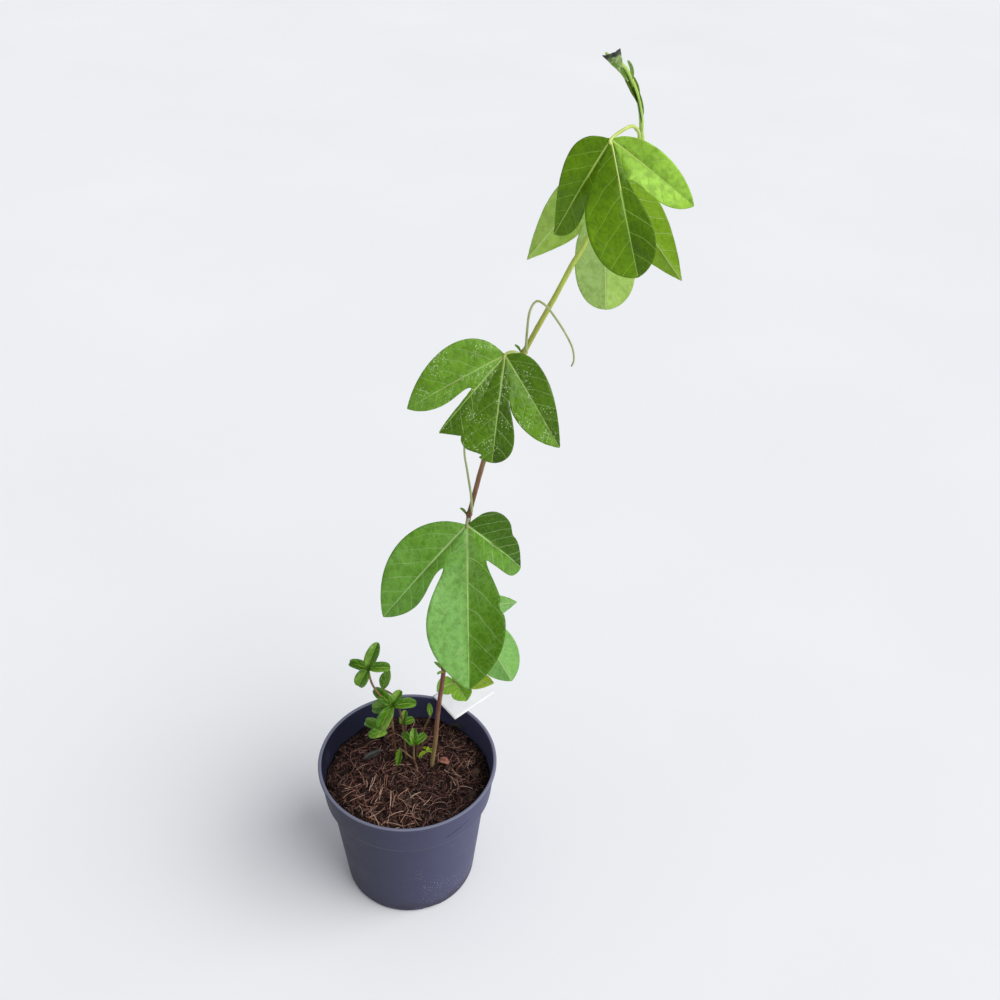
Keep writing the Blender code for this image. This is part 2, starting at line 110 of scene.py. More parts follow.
CAMERA_PLACE = (0.0578, -0.5457, 0.7288)
CAMERA_RIGHT = Vector((0.9997, 0.0151, 0.0205)).normalized()
CAMERA_AHEAD = Vector((0.0, 0.8041, -0.5945)).normalized()
FOCAL_LENGTH = 43.2
SENSOR_WIDTH = 36.0
KEY_PLACE = Vector((1.2, -0.5, 1.5))
KEY_TARGET = Vector((0.04, 0.0, 0.25))
KEY_SPREAD = 60.0
KEY_POWER = 2.50
SKY_STRENGTH = 0.46
FLOOR_REACH = 12.0
FLOOR_DROP = 0.0002


def place_camera():
    up = CAMERA_RIGHT.cross(CAMERA_AHEAD).normalized()
    turn = Matrix((CAMERA_RIGHT, up, -CAMERA_AHEAD)).transposed().to_4x4()
    lens = bpy.data.cameras.new("camera")
    lens.lens = FOCAL_LENGTH
    lens.sensor_width = SENSOR_WIDTH
    lens.clip_start = 0.01
    camera = in_scene("camera", lens)
    camera.matrix_world = Matrix.Translation(CAMERA_PLACE) @ turn
    bpy.context.scene.camera = camera


def make_light():
    """A pale sky, and even light from the right whose shadows have a soft edge."""
    world = bpy.data.worlds.new("studio")
    world.use_nodes = True
    sky = world.node_tree.nodes["Background"]
    sky.inputs["Color"].default_value = (0.93, 0.95, 1.0, 1.0)
    sky.inputs["Strength"].default_value = SKY_STRENGTH
    bpy.context.scene.world = world
    lamp = bpy.data.lights.new("key", "SUN")
    lamp.angle = math.radians(KEY_SPREAD)
    lamp.energy = KEY_POWER
    lamp.color = (1.0, 0.99, 0.97)
    turn = (KEY_TARGET - KEY_PLACE).to_track_quat("-Z", "Y").to_matrix().to_4x4()
    in_scene("key", lamp).matrix_world = Matrix.Translation(KEY_PLACE) @ turn


def make_studio():
    bpy.context.scene.view_settings.view_transform = "Standard"
    make_light()
    bm = bmesh.new()
    bmesh.ops.create_grid(bm, x_segments=1, y_segments=1, size=FLOOR_REACH)
    floor = mesh_object("floor", bm)
    floor.data.transform(Matrix.Translation((0.0, 0.0, CAD_BOX[0][2] - FLOOR_DROP)))
    floor.data.materials.append(mottled(
        "floor_paper", (0.86, 0.875, 0.90), 0.9, 3.0,
        (0.3, (0.85, 0.865, 0.89)), (0.7, (0.88, 0.893, 0.915)),
    ))


# Node trees


class Nodes:
    """A node tree, with a short call for each kind of step."""

    def __init__(self, tree):
        self.tree = tree

    def link(self, start, end):
        self.tree.links.new(start, end)

    def put(self, kind, inputs=None, **settings):
        """A new node, each input a plain value or another node's socket."""
        made = self.tree.nodes.new(kind)
        for key, value in settings.items():
            setattr(made, key, value)
        for key, value in (inputs or {}).items():
            if isinstance(value, bpy.types.NodeSocket):
                self.link(value, made.inputs[key])
            else:
                made.inputs[key].default_value = value
        return made

    def maths(self, kind, first, second=0.0, third=0.0):
        made = self.put("ShaderNodeMath", {0: first, 1: second, 2: third}, operation=kind)
        return made.outputs["Value"]

    def times(self, first, *others):
        for other in others:
            first = self.maths("MULTIPLY", first, other)
        return first

    def weighted(self, value, factor, more):
        """The value times the factor, with more added."""
        return self.maths("MULTIPLY_ADD", value, factor, more)

    def vector(self, x, y, z):
        return self.put("ShaderNodeCombineXYZ", {"X": x, "Y": y, "Z": z}).outputs["Vector"]

    def scaled(self, vector, factor):
        made = self.put("ShaderNodeVectorMath", {0: vector, "Scale": factor}, operation="SCALE")
        return made.outputs["Vector"]


class Finish(Nodes):
    """A material in the making, with the object's own coordinates and the tone so far."""

    def __init__(self, name, colour, roughness, gloss=0.5):
        self.material = bpy.data.materials.new(name)
        self.material.use_nodes = True
        super().__init__(self.material.node_tree)
        self.shader = self.tree.nodes["Principled BSDF"]
        self.shader.inputs["Base Color"].default_value = (*colour, 1.0)
        self.shader.inputs["Roughness"].default_value = roughness
        self.shader.inputs["Specular IOR Level"].default_value = gloss
        self.place = self.put("ShaderNodeTexCoord").outputs["Object"]
        self.tone = None

    def done(self):
        self.link(self.tone, self.shader.inputs["Base Color"])
        return self.material

    def uv(self, name):
        return self.put("ShaderNodeUVMap", uv_map=name).outputs["UV"]

    def split(self, vector):
        """The X, Y and Z of a vector."""
        return self.put("ShaderNodeSeparateXYZ", {0: vector}).outputs

    def noise(self, scale, detail=4.0, roughness=0.5, place=None):
        return self.put("ShaderNodeTexNoise", {
            "Vector": self.place if place is None else place,
            "Scale": scale, "Detail": detail, "Roughness": roughness,
        }).outputs["Fac"]

    def cells(self, scale, place=None, **settings):
        """The outputs of a Voronoi texture."""
        place = self.place if place is None else place
        return self.put("ShaderNodeTexVoronoi", {"Vector": place, "Scale": scale}, **settings).outputs

    def between(self, value, low, high):
        """0 below low, 1 above high, smooth in the middle; runs backwards where low > high."""
        start, end = (1.0, 0.0) if low > high else (0.0, 1.0)
        return self.put("ShaderNodeMapRange", {
            "Value": value, "From Min": min(low, high), "From Max": max(low, high),
            "To Min": start, "To Max": end,
        }, interpolation_type="SMOOTHSTEP").outputs["Result"]

    def ramp(self, value, *stops):
        """A colour by the value, each stop a place and its colour."""
        made = self.put("ShaderNodeValToRGB", {"Fac": value})
        elements = made.color_ramp.elements
        while len(elements) < len(stops):
            elements.new(0.5)
        for element, (place, colour) in zip(elements, stops):
            element.position = place
            element.color = (*colour, 1.0)
        return made.outputs["Color"]

    def blend(self, amount, first, second):
        made = self.put("ShaderNodeMix", {"Factor": amount, 6: first, 7: second}, data_type="RGBA")
        return made.outputs[2]

    def cover(self, colour, *amounts):
        """Lays a colour over the tone so far, by the product of the amounts."""
        self.tone = self.blend(self.times(*amounts), self.tone, (*colour, 1.0))

    def bump(self, height, strength, depth):
        made = self.put("ShaderNodeBump", {"Height": height, "Strength": strength, "Distance": depth})
        self.link(made.outputs["Normal"], self.shader.inputs["Normal"])


# Materials


VEIN_SWEEP = 0.75
VEIN_BEND = 16.0
VEIN_STAGGER = 0.17
LEAF_VEINS = 6.5
YOUNG_VEINS = 4.0
SPECK = (0.62, 0.76, 0.46)

# The deep, fresh, pale and vein colours of each leaf finish; deep is painted shade and pale is a painted
# highlight (sheen), reached through the tone map
LEAF_GREENS = {
    "leaf_underside": ((0.17, 0.37, 0.09), (0.26, 0.50, 0.16), (0.38, 0.60, 0.28), (0.55, 0.70, 0.34)),
    "pale_underside": ((0.20, 0.36, 0.035), (0.36, 0.54, 0.10), (0.52, 0.70, 0.28), (0.62, 0.76, 0.34)),
    "glossy_low_leaf": ((0.13, 0.29, 0.03), (0.26, 0.48, 0.08), (0.58, 0.70, 0.12), (0.50, 0.60, 0.28)),
    "low_leaf": ((0.13, 0.33, 0.06), (0.20, 0.46, 0.12), (0.3, 0.55, 0.2), (0.42, 0.62, 0.26)),
    "broad_leaf": ((0.045, 0.115, 0.004), (0.13, 0.28, 0.045), (0.26, 0.50, 0.17), (0.46, 0.64, 0.30)),
    "middle_leaf": ((0.040, 0.095, 0.002), (0.105, 0.225, 0.014), (0.25, 0.46, 0.10), (0.40, 0.58, 0.20)),
    "upper_leaf": ((0.10, 0.24, 0.02), (0.22, 0.42, 0.06), (0.36, 0.56, 0.16), (0.48, 0.62, 0.26)),
    "top_leaf": ((0.055, 0.125, 0.002), (0.125, 0.26, 0.006), (0.40, 0.66, 0.13), (0.46, 0.66, 0.20)),
    "crinkled_young_leaf": (
        (0.035, 0.11, 0.006), (0.11, 0.27, 0.03), (0.34, 0.52, 0.12), (0.40, 0.54, 0.16),
    ),
    "young_underside": ((0.10, 0.22, 0.03), (0.22, 0.38, 0.09), (0.36, 0.52, 0.18), (0.40, 0.52, 0.22)),
    "opening_bud": ((0.16, 0.28, 0.02), (0.34, 0.48, 0.05), (0.58, 0.66, 0.16), (0.60, 0.66, 0.24)),
    "clasping_leaf": ((0.020, 0.050, 0.001), (0.070, 0.150, 0.006), (0.22, 0.36, 0.03), (0.30, 0.42, 0.10)),
}


def mottled(name, colour, roughness, scale, low, high, detail=4.0, grain=None, strength=0.0):
    """A finish that drifts between two stops, with a fine grain in it where its scale is given."""
    made = Finish(name, colour, roughness)
    made.tone = made.ramp(made.noise(scale, detail), low, high)
    if grain:
        made.bump(made.noise(grain), strength, 0.0003)
    return made.done()


def vein_pattern(leaf, per_lobe):
    """Midrib, side veins, fine net and the puffs between, from the lobe map: (across, along) in cm."""
    lobe_map = leaf.uv("lobe")
    sideways, along, _ = leaf.split(lobe_map)
    reached, length, _ = leaf.split(leaf.uv("reach"))
    across = leaf.maths("ABSOLUTE", sideways)
    taper = leaf.weighted(reached, -0.04, 0.058)
    midrib = leaf.between(leaf.maths("DIVIDE", across, taper), 1.5, 0.55)
    side = leaf.times(leaf.maths("SIGN", sideways), VEIN_STAGGER)
    swept = leaf.weighted(across, VEIN_SWEEP, leaf.times(across, across, VEIN_BEND * CM))
    run = leaf.maths("DIVIDE", leaf.maths("SUBTRACT", along, swept), length)
    wobble = leaf.weighted(leaf.noise(0.6, 1.0, place=lobe_map), 0.5, -0.25)
    phase = leaf.maths("ADD", leaf.weighted(run, per_lobe, side), wobble)
    off = leaf.maths("ABSOLUTE", leaf.maths("SUBTRACT", leaf.maths("FRACT", phase), 0.5))
    apart = leaf.times(off, leaf.maths("DIVIDE", length, per_lobe))
    side_vein = leaf.times(leaf.between(apart, 0.036, 0.006), leaf.between(across, 2.6, 0.8))
    edge = leaf.cells(3.2, lobe_map, feature="DISTANCE_TO_EDGE")["Distance"]
    return midrib, side_vein, leaf.between(edge, 0.07, 0.0), leaf.between(edge, 0.0, 0.5), lobe_map


def leaf_surface(name, roughness=0.4, per_lobe=LEAF_VEINS, vein_share=0.7, glow=0.15, specks=0.0,
                 relief=0.0008, gloss=0.24):
    """Leaf green from deep to pale by the tone map, which holds painted shade and painted highlight on the
    sides of each lobe, with random patches, its veins, net and mottling.
    """
    deep, fresh, pale, vein = LEAF_GREENS[name]
    leaf = Finish(name, fresh, roughness, gloss)
    midrib, side_vein, net, quilt, lobe_map = vein_pattern(leaf, per_lobe)
    mottle = leaf.noise(260.0, 4.0, 0.6)
    patches = leaf.weighted(leaf.noise(42.0, 3.0), 0.55, -0.275)
    # Painted light and shade from the tone map, with random patches added, choose the green from deep to
    # pale
    share = leaf.maths("ADD", leaf.split(leaf.uv("tone"))[0], patches)
    leaf.tone = leaf.ramp(share, (0.0, deep), (0.5, fresh), (1.0, pale))
    leaf.cover([value * 0.72 for value in deep], leaf.between(mottle, 0.60, 0.35), 0.32)
    leaf.cover(vein, net, 0.10)
    leaf.cover(vein, side_vein, vein_share * 0.6)
    leaf.cover(vein, midrib, vein_share)
    if specks:
        dots = leaf.between(leaf.cells(10.0, lobe_map)["Distance"], 0.36, 0.16)
        where = leaf.between(leaf.noise(0.8, 3.0, place=lobe_map), 0.46, 0.58)
        leaf.cover(SPECK, dots, where, specks)
    vivid = leaf.put("ShaderNodeHueSaturation", {"Color": leaf.tone, "Saturation": 1.12, "Value": 1.14})
    leaf.tone = vivid.outputs["Color"]
    height = leaf.weighted(quilt, 0.45, leaf.times(mottle, 0.25))
    height = leaf.maths("SUBTRACT", height, leaf.times(side_vein, 0.8))
    leaf.bump(leaf.maths("SUBTRACT", height, midrib), 0.40, relief)
    through = leaf.put("ShaderNodeBsdfTranslucent", {"Color": leaf.tone}).outputs["BSDF"]
    mixed = leaf.put("ShaderNodeMixShader", {0: glow, 1: leaf.shader.outputs["BSDF"], 2: through})
    leaf.link(mixed.outputs["Shader"], leaf.tree.nodes["Material Output"].inputs["Surface"])
    return leaf.done()


def stem_surface():
    """Olive at the foot, red-brown to the middle nodes and fresh green to the tip, by height."""
    bark = Finish("vine_bark", (0.2, 0.09, 0.06), 0.45)
    height = bark.split(bark.place)[2]
    uneven = bark.weighted(bark.noise(60.0, 3.0), 0.03, height)
    bark.tone = bark.ramp(
        bark.weighted(uneven, 2.0, -0.18),
        (0.00, (0.30, 0.20, 0.09)), (0.05, (0.36, 0.26, 0.11)), (0.14, (0.17, 0.05, 0.035)),
        (0.36, (0.13, 0.035, 0.03)), (0.58, (0.22, 0.10, 0.035)), (0.70, (0.42, 0.42, 0.07)),
        (0.78, (0.48, 0.60, 0.08)), (0.92, (0.44, 0.66, 0.12)),
    )
    stretched = bark.put("ShaderNodeMapping", {"Vector": bark.place, "Scale": (900.0, 900.0, 60.0)})
    ridges = bark.noise(1.0, 3.0, place=stretched.outputs["Vector"])
    bark.cover((0.34, 0.22, 0.12), bark.between(ridges, 0.45, 0.7), 0.35)
    bark.bump(ridges, 0.35, 0.0004)
    return bark.done()


def stalk_surface():
    """Olive green on the low petioles and yellow-green on the high ones."""
    stalk = Finish("petiole_green", (0.35, 0.48, 0.16), 0.42)
    drift = stalk.noise(120.0)
    low = stalk.ramp(drift, (0.3, (0.22, 0.24, 0.08)), (0.7, (0.36, 0.44, 0.16)))
    high = stalk.ramp(drift, (0.3, (0.50, 0.62, 0.10)), (0.7, (0.66, 0.78, 0.22)))
    stalk.tone = stalk.blend(stalk.between(stalk.split(stalk.place)[2], 0.36, 0.50), low, high)
    stalk.bump(stalk.noise(700.0), 0.2, 0.0003)
    return stalk.done()


def pot_surface():
    """Matt blue-grey plastic with painted light, paler to the right, and a painted highlight along the rim's
    top edge; with dust flecks, a scuff and soil stain.
    """
    pot = Finish("pot_plastic", (0.04, 0.043, 0.08), 0.5, 0.22)
    x, y, height = pot.split(pot.place)
    pot.tone = pot.ramp(pot.noise(14.0), (0.3, (0.012, 0.013, 0.028)), (0.7, (0.018, 0.019, 0.042)))
    # Painted light: the right side is made paler and bluer, standing in for the key light that falls from
    # the right.
    pot.cover((0.074, 0.076, 0.156), pot.between(x, -0.065, 0.055), 0.90)
    dust = pot.noise(70.0, 6.0, 0.65)
    pot.cover((0.10, 0.105, 0.15), pot.between(dust, 0.54, 0.74), 0.22)
    # Painted highlight: a thin pale line along the top edge of the rim.
    pot.cover((0.23, 0.24, 0.33), pot.between(height, 0.1060, 0.1068), 0.70)
    pot.cover((0.022, 0.018, 0.018), pot.between(height, 0.016, 0.002), pot.between(dust, 0.42, 0.60), 0.6)
    off_line = pot.maths("ABSOLUTE", pot.maths("SUBTRACT", pot.weighted(x, -0.35, height), 0.0785))
    streak = pot.times(
        pot.between(off_line, 0.0008, 0.0003), pot.between(x, 0.026, 0.029), pot.between(x, 0.045, 0.042),
        pot.between(y, -0.02, -0.03),
    )
    pot.cover((0.012, 0.012, 0.016), streak, pot.between(pot.noise(420.0, 2.0), 0.46, 0.52))
    sunny = pot.weighted(x, 3.2, pot.noise(30.0, 3.0))
    flecks = pot.times(
        pot.between(pot.cells(560.0)["Distance"], 0.19, 0.10), pot.between(height, 0.078, 0.060),
        pot.between(sunny, 0.58, 0.74),
    )
    pot.cover((0.60, 0.58, 0.60), flecks, 0.80)
    pot.link(pot.weighted(dust, 0.22, 0.40), pot.shader.inputs["Roughness"])
    pot.bump(pot.weighted(flecks, 1.5, pot.noise(1500.0, 3.0)), 0.16, 0.0003)
    return pot.done()


def mix_surface():
    mix = Finish("potting_mix", (0.03, 0.018, 0.014), 0.95, 0.15)
    shade = mix.put("ShaderNodeSeparateColor", {0: mix.cells(380.0)["Color"]}).outputs[0]
    mix.tone = mix.ramp(
        shade, (0.0, (0.003, 0.002, 0.002)), (0.55, (0.012, 0.007, 0.006)), (1.0, (0.050, 0.026, 0.020)),
    )
    mix.bump(mix.noise(700.0, 6.0, 0.7), 0.9, 0.0015)
    return mix.done()


def strand_surface(name, *stops):
    """Loose plant matter whose tone follows the random shade given to each strand."""
    strand = Finish(name, stops[0][1], 0.85, 0.2)
    shade = strand.put("ShaderNodeAttribute", attribute_name="shade").outputs["Fac"]
    fine = strand.noise(900.0, 3.0)
    strand.tone = strand.ramp(strand.weighted(fine, 0.2, strand.times(shade, 0.85)), *stops)
    strand.bump(fine, 0.4, 0.0004)
    return strand.done()


def flake_surface():
    """Pale green inside the flake, dark and dry at its end."""
    flake = Finish("dried_leaf_tip", (0.1, 0.14, 0.05), 0.6)
    x, _, height = flake.split(flake.place)
    level = flake.weighted(flake.noise(300.0), 0.006, flake.weighted(x, -0.373, height))
    crumple = flake.noise(500.0)
    dry = flake.ramp(crumple, (0.35, (0.010, 0.014, 0.008)), (0.7, (0.07, 0.09, 0.05)))
    inner = flake.ramp(
        flake.noise(330.0, 4.0, 0.6),
        (0.36, (0.07, 0.13, 0.02)), (0.50, (0.26, 0.38, 0.11)), (0.70, (0.62, 0.72, 0.46)),
    )
    flake.tone = flake.blend(flake.between(level, 0.5385, 0.5405), inner, dry)
    flake.bump(crumple, 0.5, 0.0005)
    return flake.done()


# Tubes and turned pieces


def catmull(a, b, c, d, t):
    return 0.5 * (
        2.0 * b + (c - a) * t + (2.0 * a - 5.0 * b + 4.0 * c - d) * t * t
        + (3.0 * b - a - 3.0 * c + d) * t * t * t
    )


def smooth_path(points, steps):
    run = []
    padded = [points[0], *points, points[-1]]
    for around in zip(padded, padded[1:], padded[2:], padded[3:]):
        for step in range(steps):
            run.append(tuple(catmull(*values, step / steps) for values in zip(*around)))
    run.append(tuple(points[-1]))
    return run


def bridge(bm, rings, closed=True):
    """Faces between each ring of points and the next."""
    for low, high in zip(rings, rings[1:]):
        pairs = list(zip(low, high))
        if closed:
            pairs.append(pairs[0])
        for (a, b), (c, d) in zip(pairs, pairs[1:]):
            bm.faces.new((a, b, d, c))


def cap(bm, ring, tip):
    """Faces from a ring to a point."""
    for first, second in zip(ring, ring[1:] + ring[:1]):
        bm.faces.new((first, second, tip))


def add_tube(bm, points, steps, sides, rough):
    """A tube through (x, y, z, radius) points in mm, its ends drawn in to closed tips."""
    run = smooth_path(points, steps)
    rings = []
    side = None
    for index, (x, y, z, radius) in enumerate(run):
        here = Vector((x, y, z))
        ahead = Vector(run[min(index + 1, len(run) - 1)][:3]) - Vector(run[max(index - 1, 0)][:3])
        ahead.normalize()
        side = side or ahead.orthogonal()
        side = (side - ahead * side.dot(ahead)).normalized()
        other = ahead.cross(side)
        ring = []
        for step in range(sides):
            turn = math.tau * step / sides
            out = math.cos(turn) * side + math.sin(turn) * other
            swell = 1.0 + rough * noise.noise((here + out * radius) * 0.9)
            ring.append(bm.verts.new((here + out * radius * swell) * MM))
        rings.append(ring)
    bridge(bm, rings)
    for ring, place in ((rings[0], run[0]), (rings[-1], run[-1])):
        cap(bm, ring, bm.verts.new(Vector(place[:3]) * MM))


def tube_piece(name, runs, finish, node, steps=6, sides=10, rough=0.0):
    bm = bmesh.new()
    for points in runs:
        add_tube(bm, points, steps, sides, rough)
    bmesh.ops.recalc_face_normals(bm, faces=bm.faces)
    settle(mesh_object(name, bm), node, finish)


def turned(name, profile, steps):
    """A solid of revolution; the profile is (radius, height) in mm."""
    bm = bmesh.new()
    points = [bm.verts.new((radius * MM, 0.0, height * MM)) for radius, height in profile]
    for first, second in zip(points, points[1:]):
        bm.edges.new((first, second))
    thing = mesh_object(name, bm)
    screw = thing.modifiers.new("turn", "SCREW")
    screw.angle = math.tau
    screw.steps = steps
    screw.use_merge_vertices = True
    screw.merge_threshold = 0.00002
    applied(thing)
    bm = bmesh.new()
    bm.from_mesh(thing.data)
    bmesh.ops.remove_doubles(bm, verts=bm.verts, dist=0.000004)
    bmesh.ops.recalc_face_normals(bm, faces=bm.faces)
    bm.to_mesh(thing.data)
    bm.free()
    return thing


# The pot


POT_SECTION = [
    (0.0, 4.0), (24.0, 4.0), (41.5, 4.0), (43.0, 4.2), (43.9, 5.4), (44.4, 9.0), (45.5, 20.0), (47.0, 35.0),
    (48.6, 50.0), (49.9, 64.0), (51.2, 77.0), (51.45, 78.2), (52.1, 79.3), (53.3, 80.2), (54.4, 81.1),
    (55.0, 81.9), (55.3, 83.0), (56.3, 93.0), (57.4, 104.0), (57.6, 106.0), (57.9, 106.7), (58.4, 107.0),
    (59.3, 107.0), (59.8, 106.7), (60.0, 106.1), (60.0, 105.1), (59.8, 104.5), (59.3, 104.1), (58.8, 103.7),
    (58.5, 101.0), (57.8, 93.5), (56.9, 84.0), (56.65, 82.4), (56.2, 81.3), (55.4, 80.5), (54.2, 79.6),
    (53.2, 78.7), (52.7, 77.6), (52.4, 75.0), (51.2, 63.0), (49.9, 50.0), (48.4, 35.0), (46.8, 20.0),
    (45.6, 8.0), (45.2, 4.6), (44.9, 2.2), (44.4, 0.8), (43.5, 0.0), (38.4, 0.0), (38.0, 0.6), (37.8, 2.4),
    (26.0, 2.4), (12.4, 2.4), (12.0, 2.0), (12.0, 0.0), (0.0, 0.0),
]
POT_STEPS = 120
POT_SHARP_EDGE = 38.0
DRAIN_HOLES = 6


def ring_of_cutters(name, ring_radius, first, radius, low, high):
    """Upright cylinders in a ring, in mm; first is the turn of the first one in degrees."""
    bm = bmesh.new()
    for index in range(DRAIN_HOLES):
        turn = math.radians(first + 360.0 * index / DRAIN_HOLES)
        made = bmesh.ops.create_cone(
            bm, cap_ends=True, segments=28,
            radius1=radius * MM, radius2=radius * MM, depth=(high - low) * MM,
        )
        x, y = ring_radius * math.cos(turn), ring_radius * math.sin(turn)
        bmesh.ops.translate(bm, verts=made["verts"], vec=(x * MM, y * MM, (low + high) / 2.0 * MM))
    return mesh_object(name, bm)


def make_pot():
    pot = turned("nursery_pot", POT_SECTION, POT_STEPS)
    cutters = [
        ring_of_cutters("drains", 30.0, 30.0, 4.2, -1.0, 8.0),
        ring_of_cutters("foot_gaps", 41.5, 52.0, 6.0, -4.0, 2.0),
    ]
    for cutter in cutters:
        opening = pot.modifiers.new("opening", "BOOLEAN")
        opening.operation = "DIFFERENCE"
        opening.solver = "EXACT"
        opening.object = cutter
    applied(pot)
    for cutter in cutters:
        bpy.data.objects.remove(cutter, do_unlink=True)
    pot.data.materials.clear()
    settle(pot, "pot", pot_surface())
    pot.data.set_sharp_from_angle(angle=math.radians(POT_SHARP_EDGE))


# Potting mix with its fibres, chips and crumbs


SOIL_TOP = 90.0
SOIL_RADIUS = 55.3
SOIL_RINGS = 76
SOIL_STEPS = 200
PATCH_RINGS = 12
PATCH_STEPS = 48
BELOW_TOP = ((54.7, 82.4), (51.0, 78.0), (48.1, 50.0), (45.0, 20.0), (42.6, 4.4))


def soil_height(x, y):
    """Height of the loose top in metres at (x, y) in metres."""
    reach = math.hypot(x, y) / 0.055
    waves = math.sin(x * 210.0 + 1.3) * math.cos(y * 170.0)
    waves += 0.6 * math.sin(x * 420.0 - y * 380.0 + 0.7)
    place = Vector((x, y, 0.0))
    clods = noise.fractal(place * 190.0, 0.9, 2.1, 4)
    crumbs = noise.fractal(place * 700.0 + Vector((3.0, 1.0, 0.0)), 0.8, 2.1, 3)
    return (SOIL_TOP + waves * 0.9 - 1.6 * reach ** 4 + 1.5 * clods + 0.55 * crumbs) * MM


def ring_points(bm, radius, turns, height=None):
    """Points on a circle in metres, on the loose top where no height is given."""
    points = []
    for turn in turns:
        x, y = radius * math.cos(turn), radius * math.sin(turn)
        points.append(bm.verts.new((x, y, soil_height(x, y) if height is None else height)))
    return points


def make_mix():
    bm = bmesh.new()
    turns = [math.tau * step / SOIL_STEPS for step in range(SOIL_STEPS)]
    centre = bm.verts.new((0.0, 0.0, soil_height(0.0, 0.0)))
    rings = [
        ring_points(bm, SOIL_RADIUS * index / SOIL_RINGS * MM, turns) for index in range(1, SOIL_RINGS + 1)
    ]
    rings += [ring_points(bm, radius * MM, turns, height * MM) for radius, height in BELOW_TOP]
    bridge(bm, rings)
    cap(bm, rings[0], centre)
    bm.faces.new(list(reversed(rings[-1])))
    bmesh.ops.recalc_face_normals(bm, faces=bm.faces)
    settle(mesh_object("loose_mix", bm), "potting_mix", mix_surface())


def soil_patch(inner, outer, start=0.0, end=math.tau):
    """A patch of the mix's top for strewing on, between two radii in mm and two turns."""
    bm = bmesh.new()
    turns = [start + (end - start) * step / PATCH_STEPS for step in range(PATCH_STEPS + 1)]
    radii = [(inner + (outer - inner) * index / PATCH_RINGS) * MM for index in range(PATCH_RINGS + 1)]
    bridge(bm, [ring_points(bm, radius, turns) for radius in radii], closed=False)
    mesh = bpy.data.meshes.new("soil_patch")
    bm.to_mesh(mesh)
    bm.free()
    return mesh


class Strewing(Nodes):
    """A Geometry Nodes tree that strews copies of one form at random over the surface given to it."""

    def __init__(self, name, *sizes):
        super().__init__(bpy.data.node_groups.new(name, "GeometryNodeTree"))
        sockets = self.tree.interface
        sockets.new_socket("Geometry", in_out="INPUT", socket_type="NodeSocketGeometry")
        kinds = [(size, "Float") for size in ("Density", *sizes)]
        kinds += [("Seed", "Int"), ("Surface", "Material")]
        self.inputs = [
            sockets.new_socket(title, in_out="INPUT", socket_type="NodeSocket" + kind).identifier
            for title, kind in kinds
        ]
        sockets.new_socket("Geometry", in_out="OUTPUT", socket_type="NodeSocketGeometry")
        self.given = self.tree.nodes.new("NodeGroupInput").outputs

    def random_vector(self, low, high):
        made = self.put("FunctionNodeRandomValue", {
            0: low, 1: high, "Seed": self.given["Seed"],
        }, data_type="FLOAT_VECTOR")
        return made.outputs[0]

    def random_number(self, low, high, seed):
        made = self.put("FunctionNodeRandomValue", {2: low, 3: high, "Seed": seed}, data_type="FLOAT")
        return made.outputs[1]

    def strew(self, form, turn, size):
        given = self.given
        points = self.put("GeometryNodeDistributePointsOnFaces", {
            "Mesh": given["Geometry"], "Density": given["Density"], "Seed": given["Seed"],
        }).outputs["Points"]
        return self.put("GeometryNodeInstanceOnPoints", {
            "Points": points, "Instance": form, "Rotation": turn, "Scale": size,
        }).outputs["Instances"]

    def close(self, copies, seed):
        """Gives each copy a random shade and the surface, and makes all of them one mesh."""
        marked = self.put("GeometryNodeStoreNamedAttribute", {
            "Geometry": copies, "Name": "shade", "Value": self.random_number(0.0, 1.0, seed),
        }, data_type="FLOAT", domain="INSTANCE").outputs["Geometry"]
        real = self.put("GeometryNodeRealizeInstances", {"Geometry": marked}).outputs["Geometry"]
        coated = self.put("GeometryNodeSetMaterial", {"Geometry": real, "Material": self.given["Surface"]})
        result = self.tree.nodes.new("NodeGroupOutput")
        self.link(coated.outputs["Geometry"], result.inputs["Geometry"])


def strand_tree():
    """Curved strands, each 1 long before its length scales it."""
    tree = Strewing("strewn_strands", "Length", "Thickness", "Bend", "Tilt", "Lift")
    given = tree.given
    arc = tree.put("GeometryNodeCurveQuadraticBezier", {
        "Resolution": 6, "Start": (-0.5, 0.0, 0.0), "Middle": tree.vector(0.0, given["Bend"], 0.06),
        "End": (0.5, 0.0, 0.0),
    })
    ring = tree.put("GeometryNodeCurvePrimitiveCircle", {
        "Resolution": 4, "Radius": tree.maths("DIVIDE", given["Thickness"], given["Length"]),
    })
    strand = tree.put("GeometryNodeCurveToMesh", {
        "Curve": arc.outputs["Curve"], "Profile Curve": ring.outputs["Curve"], "Fill Caps": True,
    }).outputs["Mesh"]
    low = tree.vector(0.0, tree.times(given["Tilt"], -1.0), 0.0)
    high = tree.vector(math.tau, given["Tilt"], math.tau)
    size = tree.times(tree.random_number(0.4, 1.0, given["Seed"]), given["Length"])
    copies = tree.strew(strand, tree.random_vector(low, high), size)
    raised = tree.put("GeometryNodeTranslateInstances", {
        "Instances": copies, "Translation": tree.vector(0.0, 0.0, given["Lift"]), "Local Space": False,
    })
    tree.close(raised.outputs["Instances"], 11)
    return tree


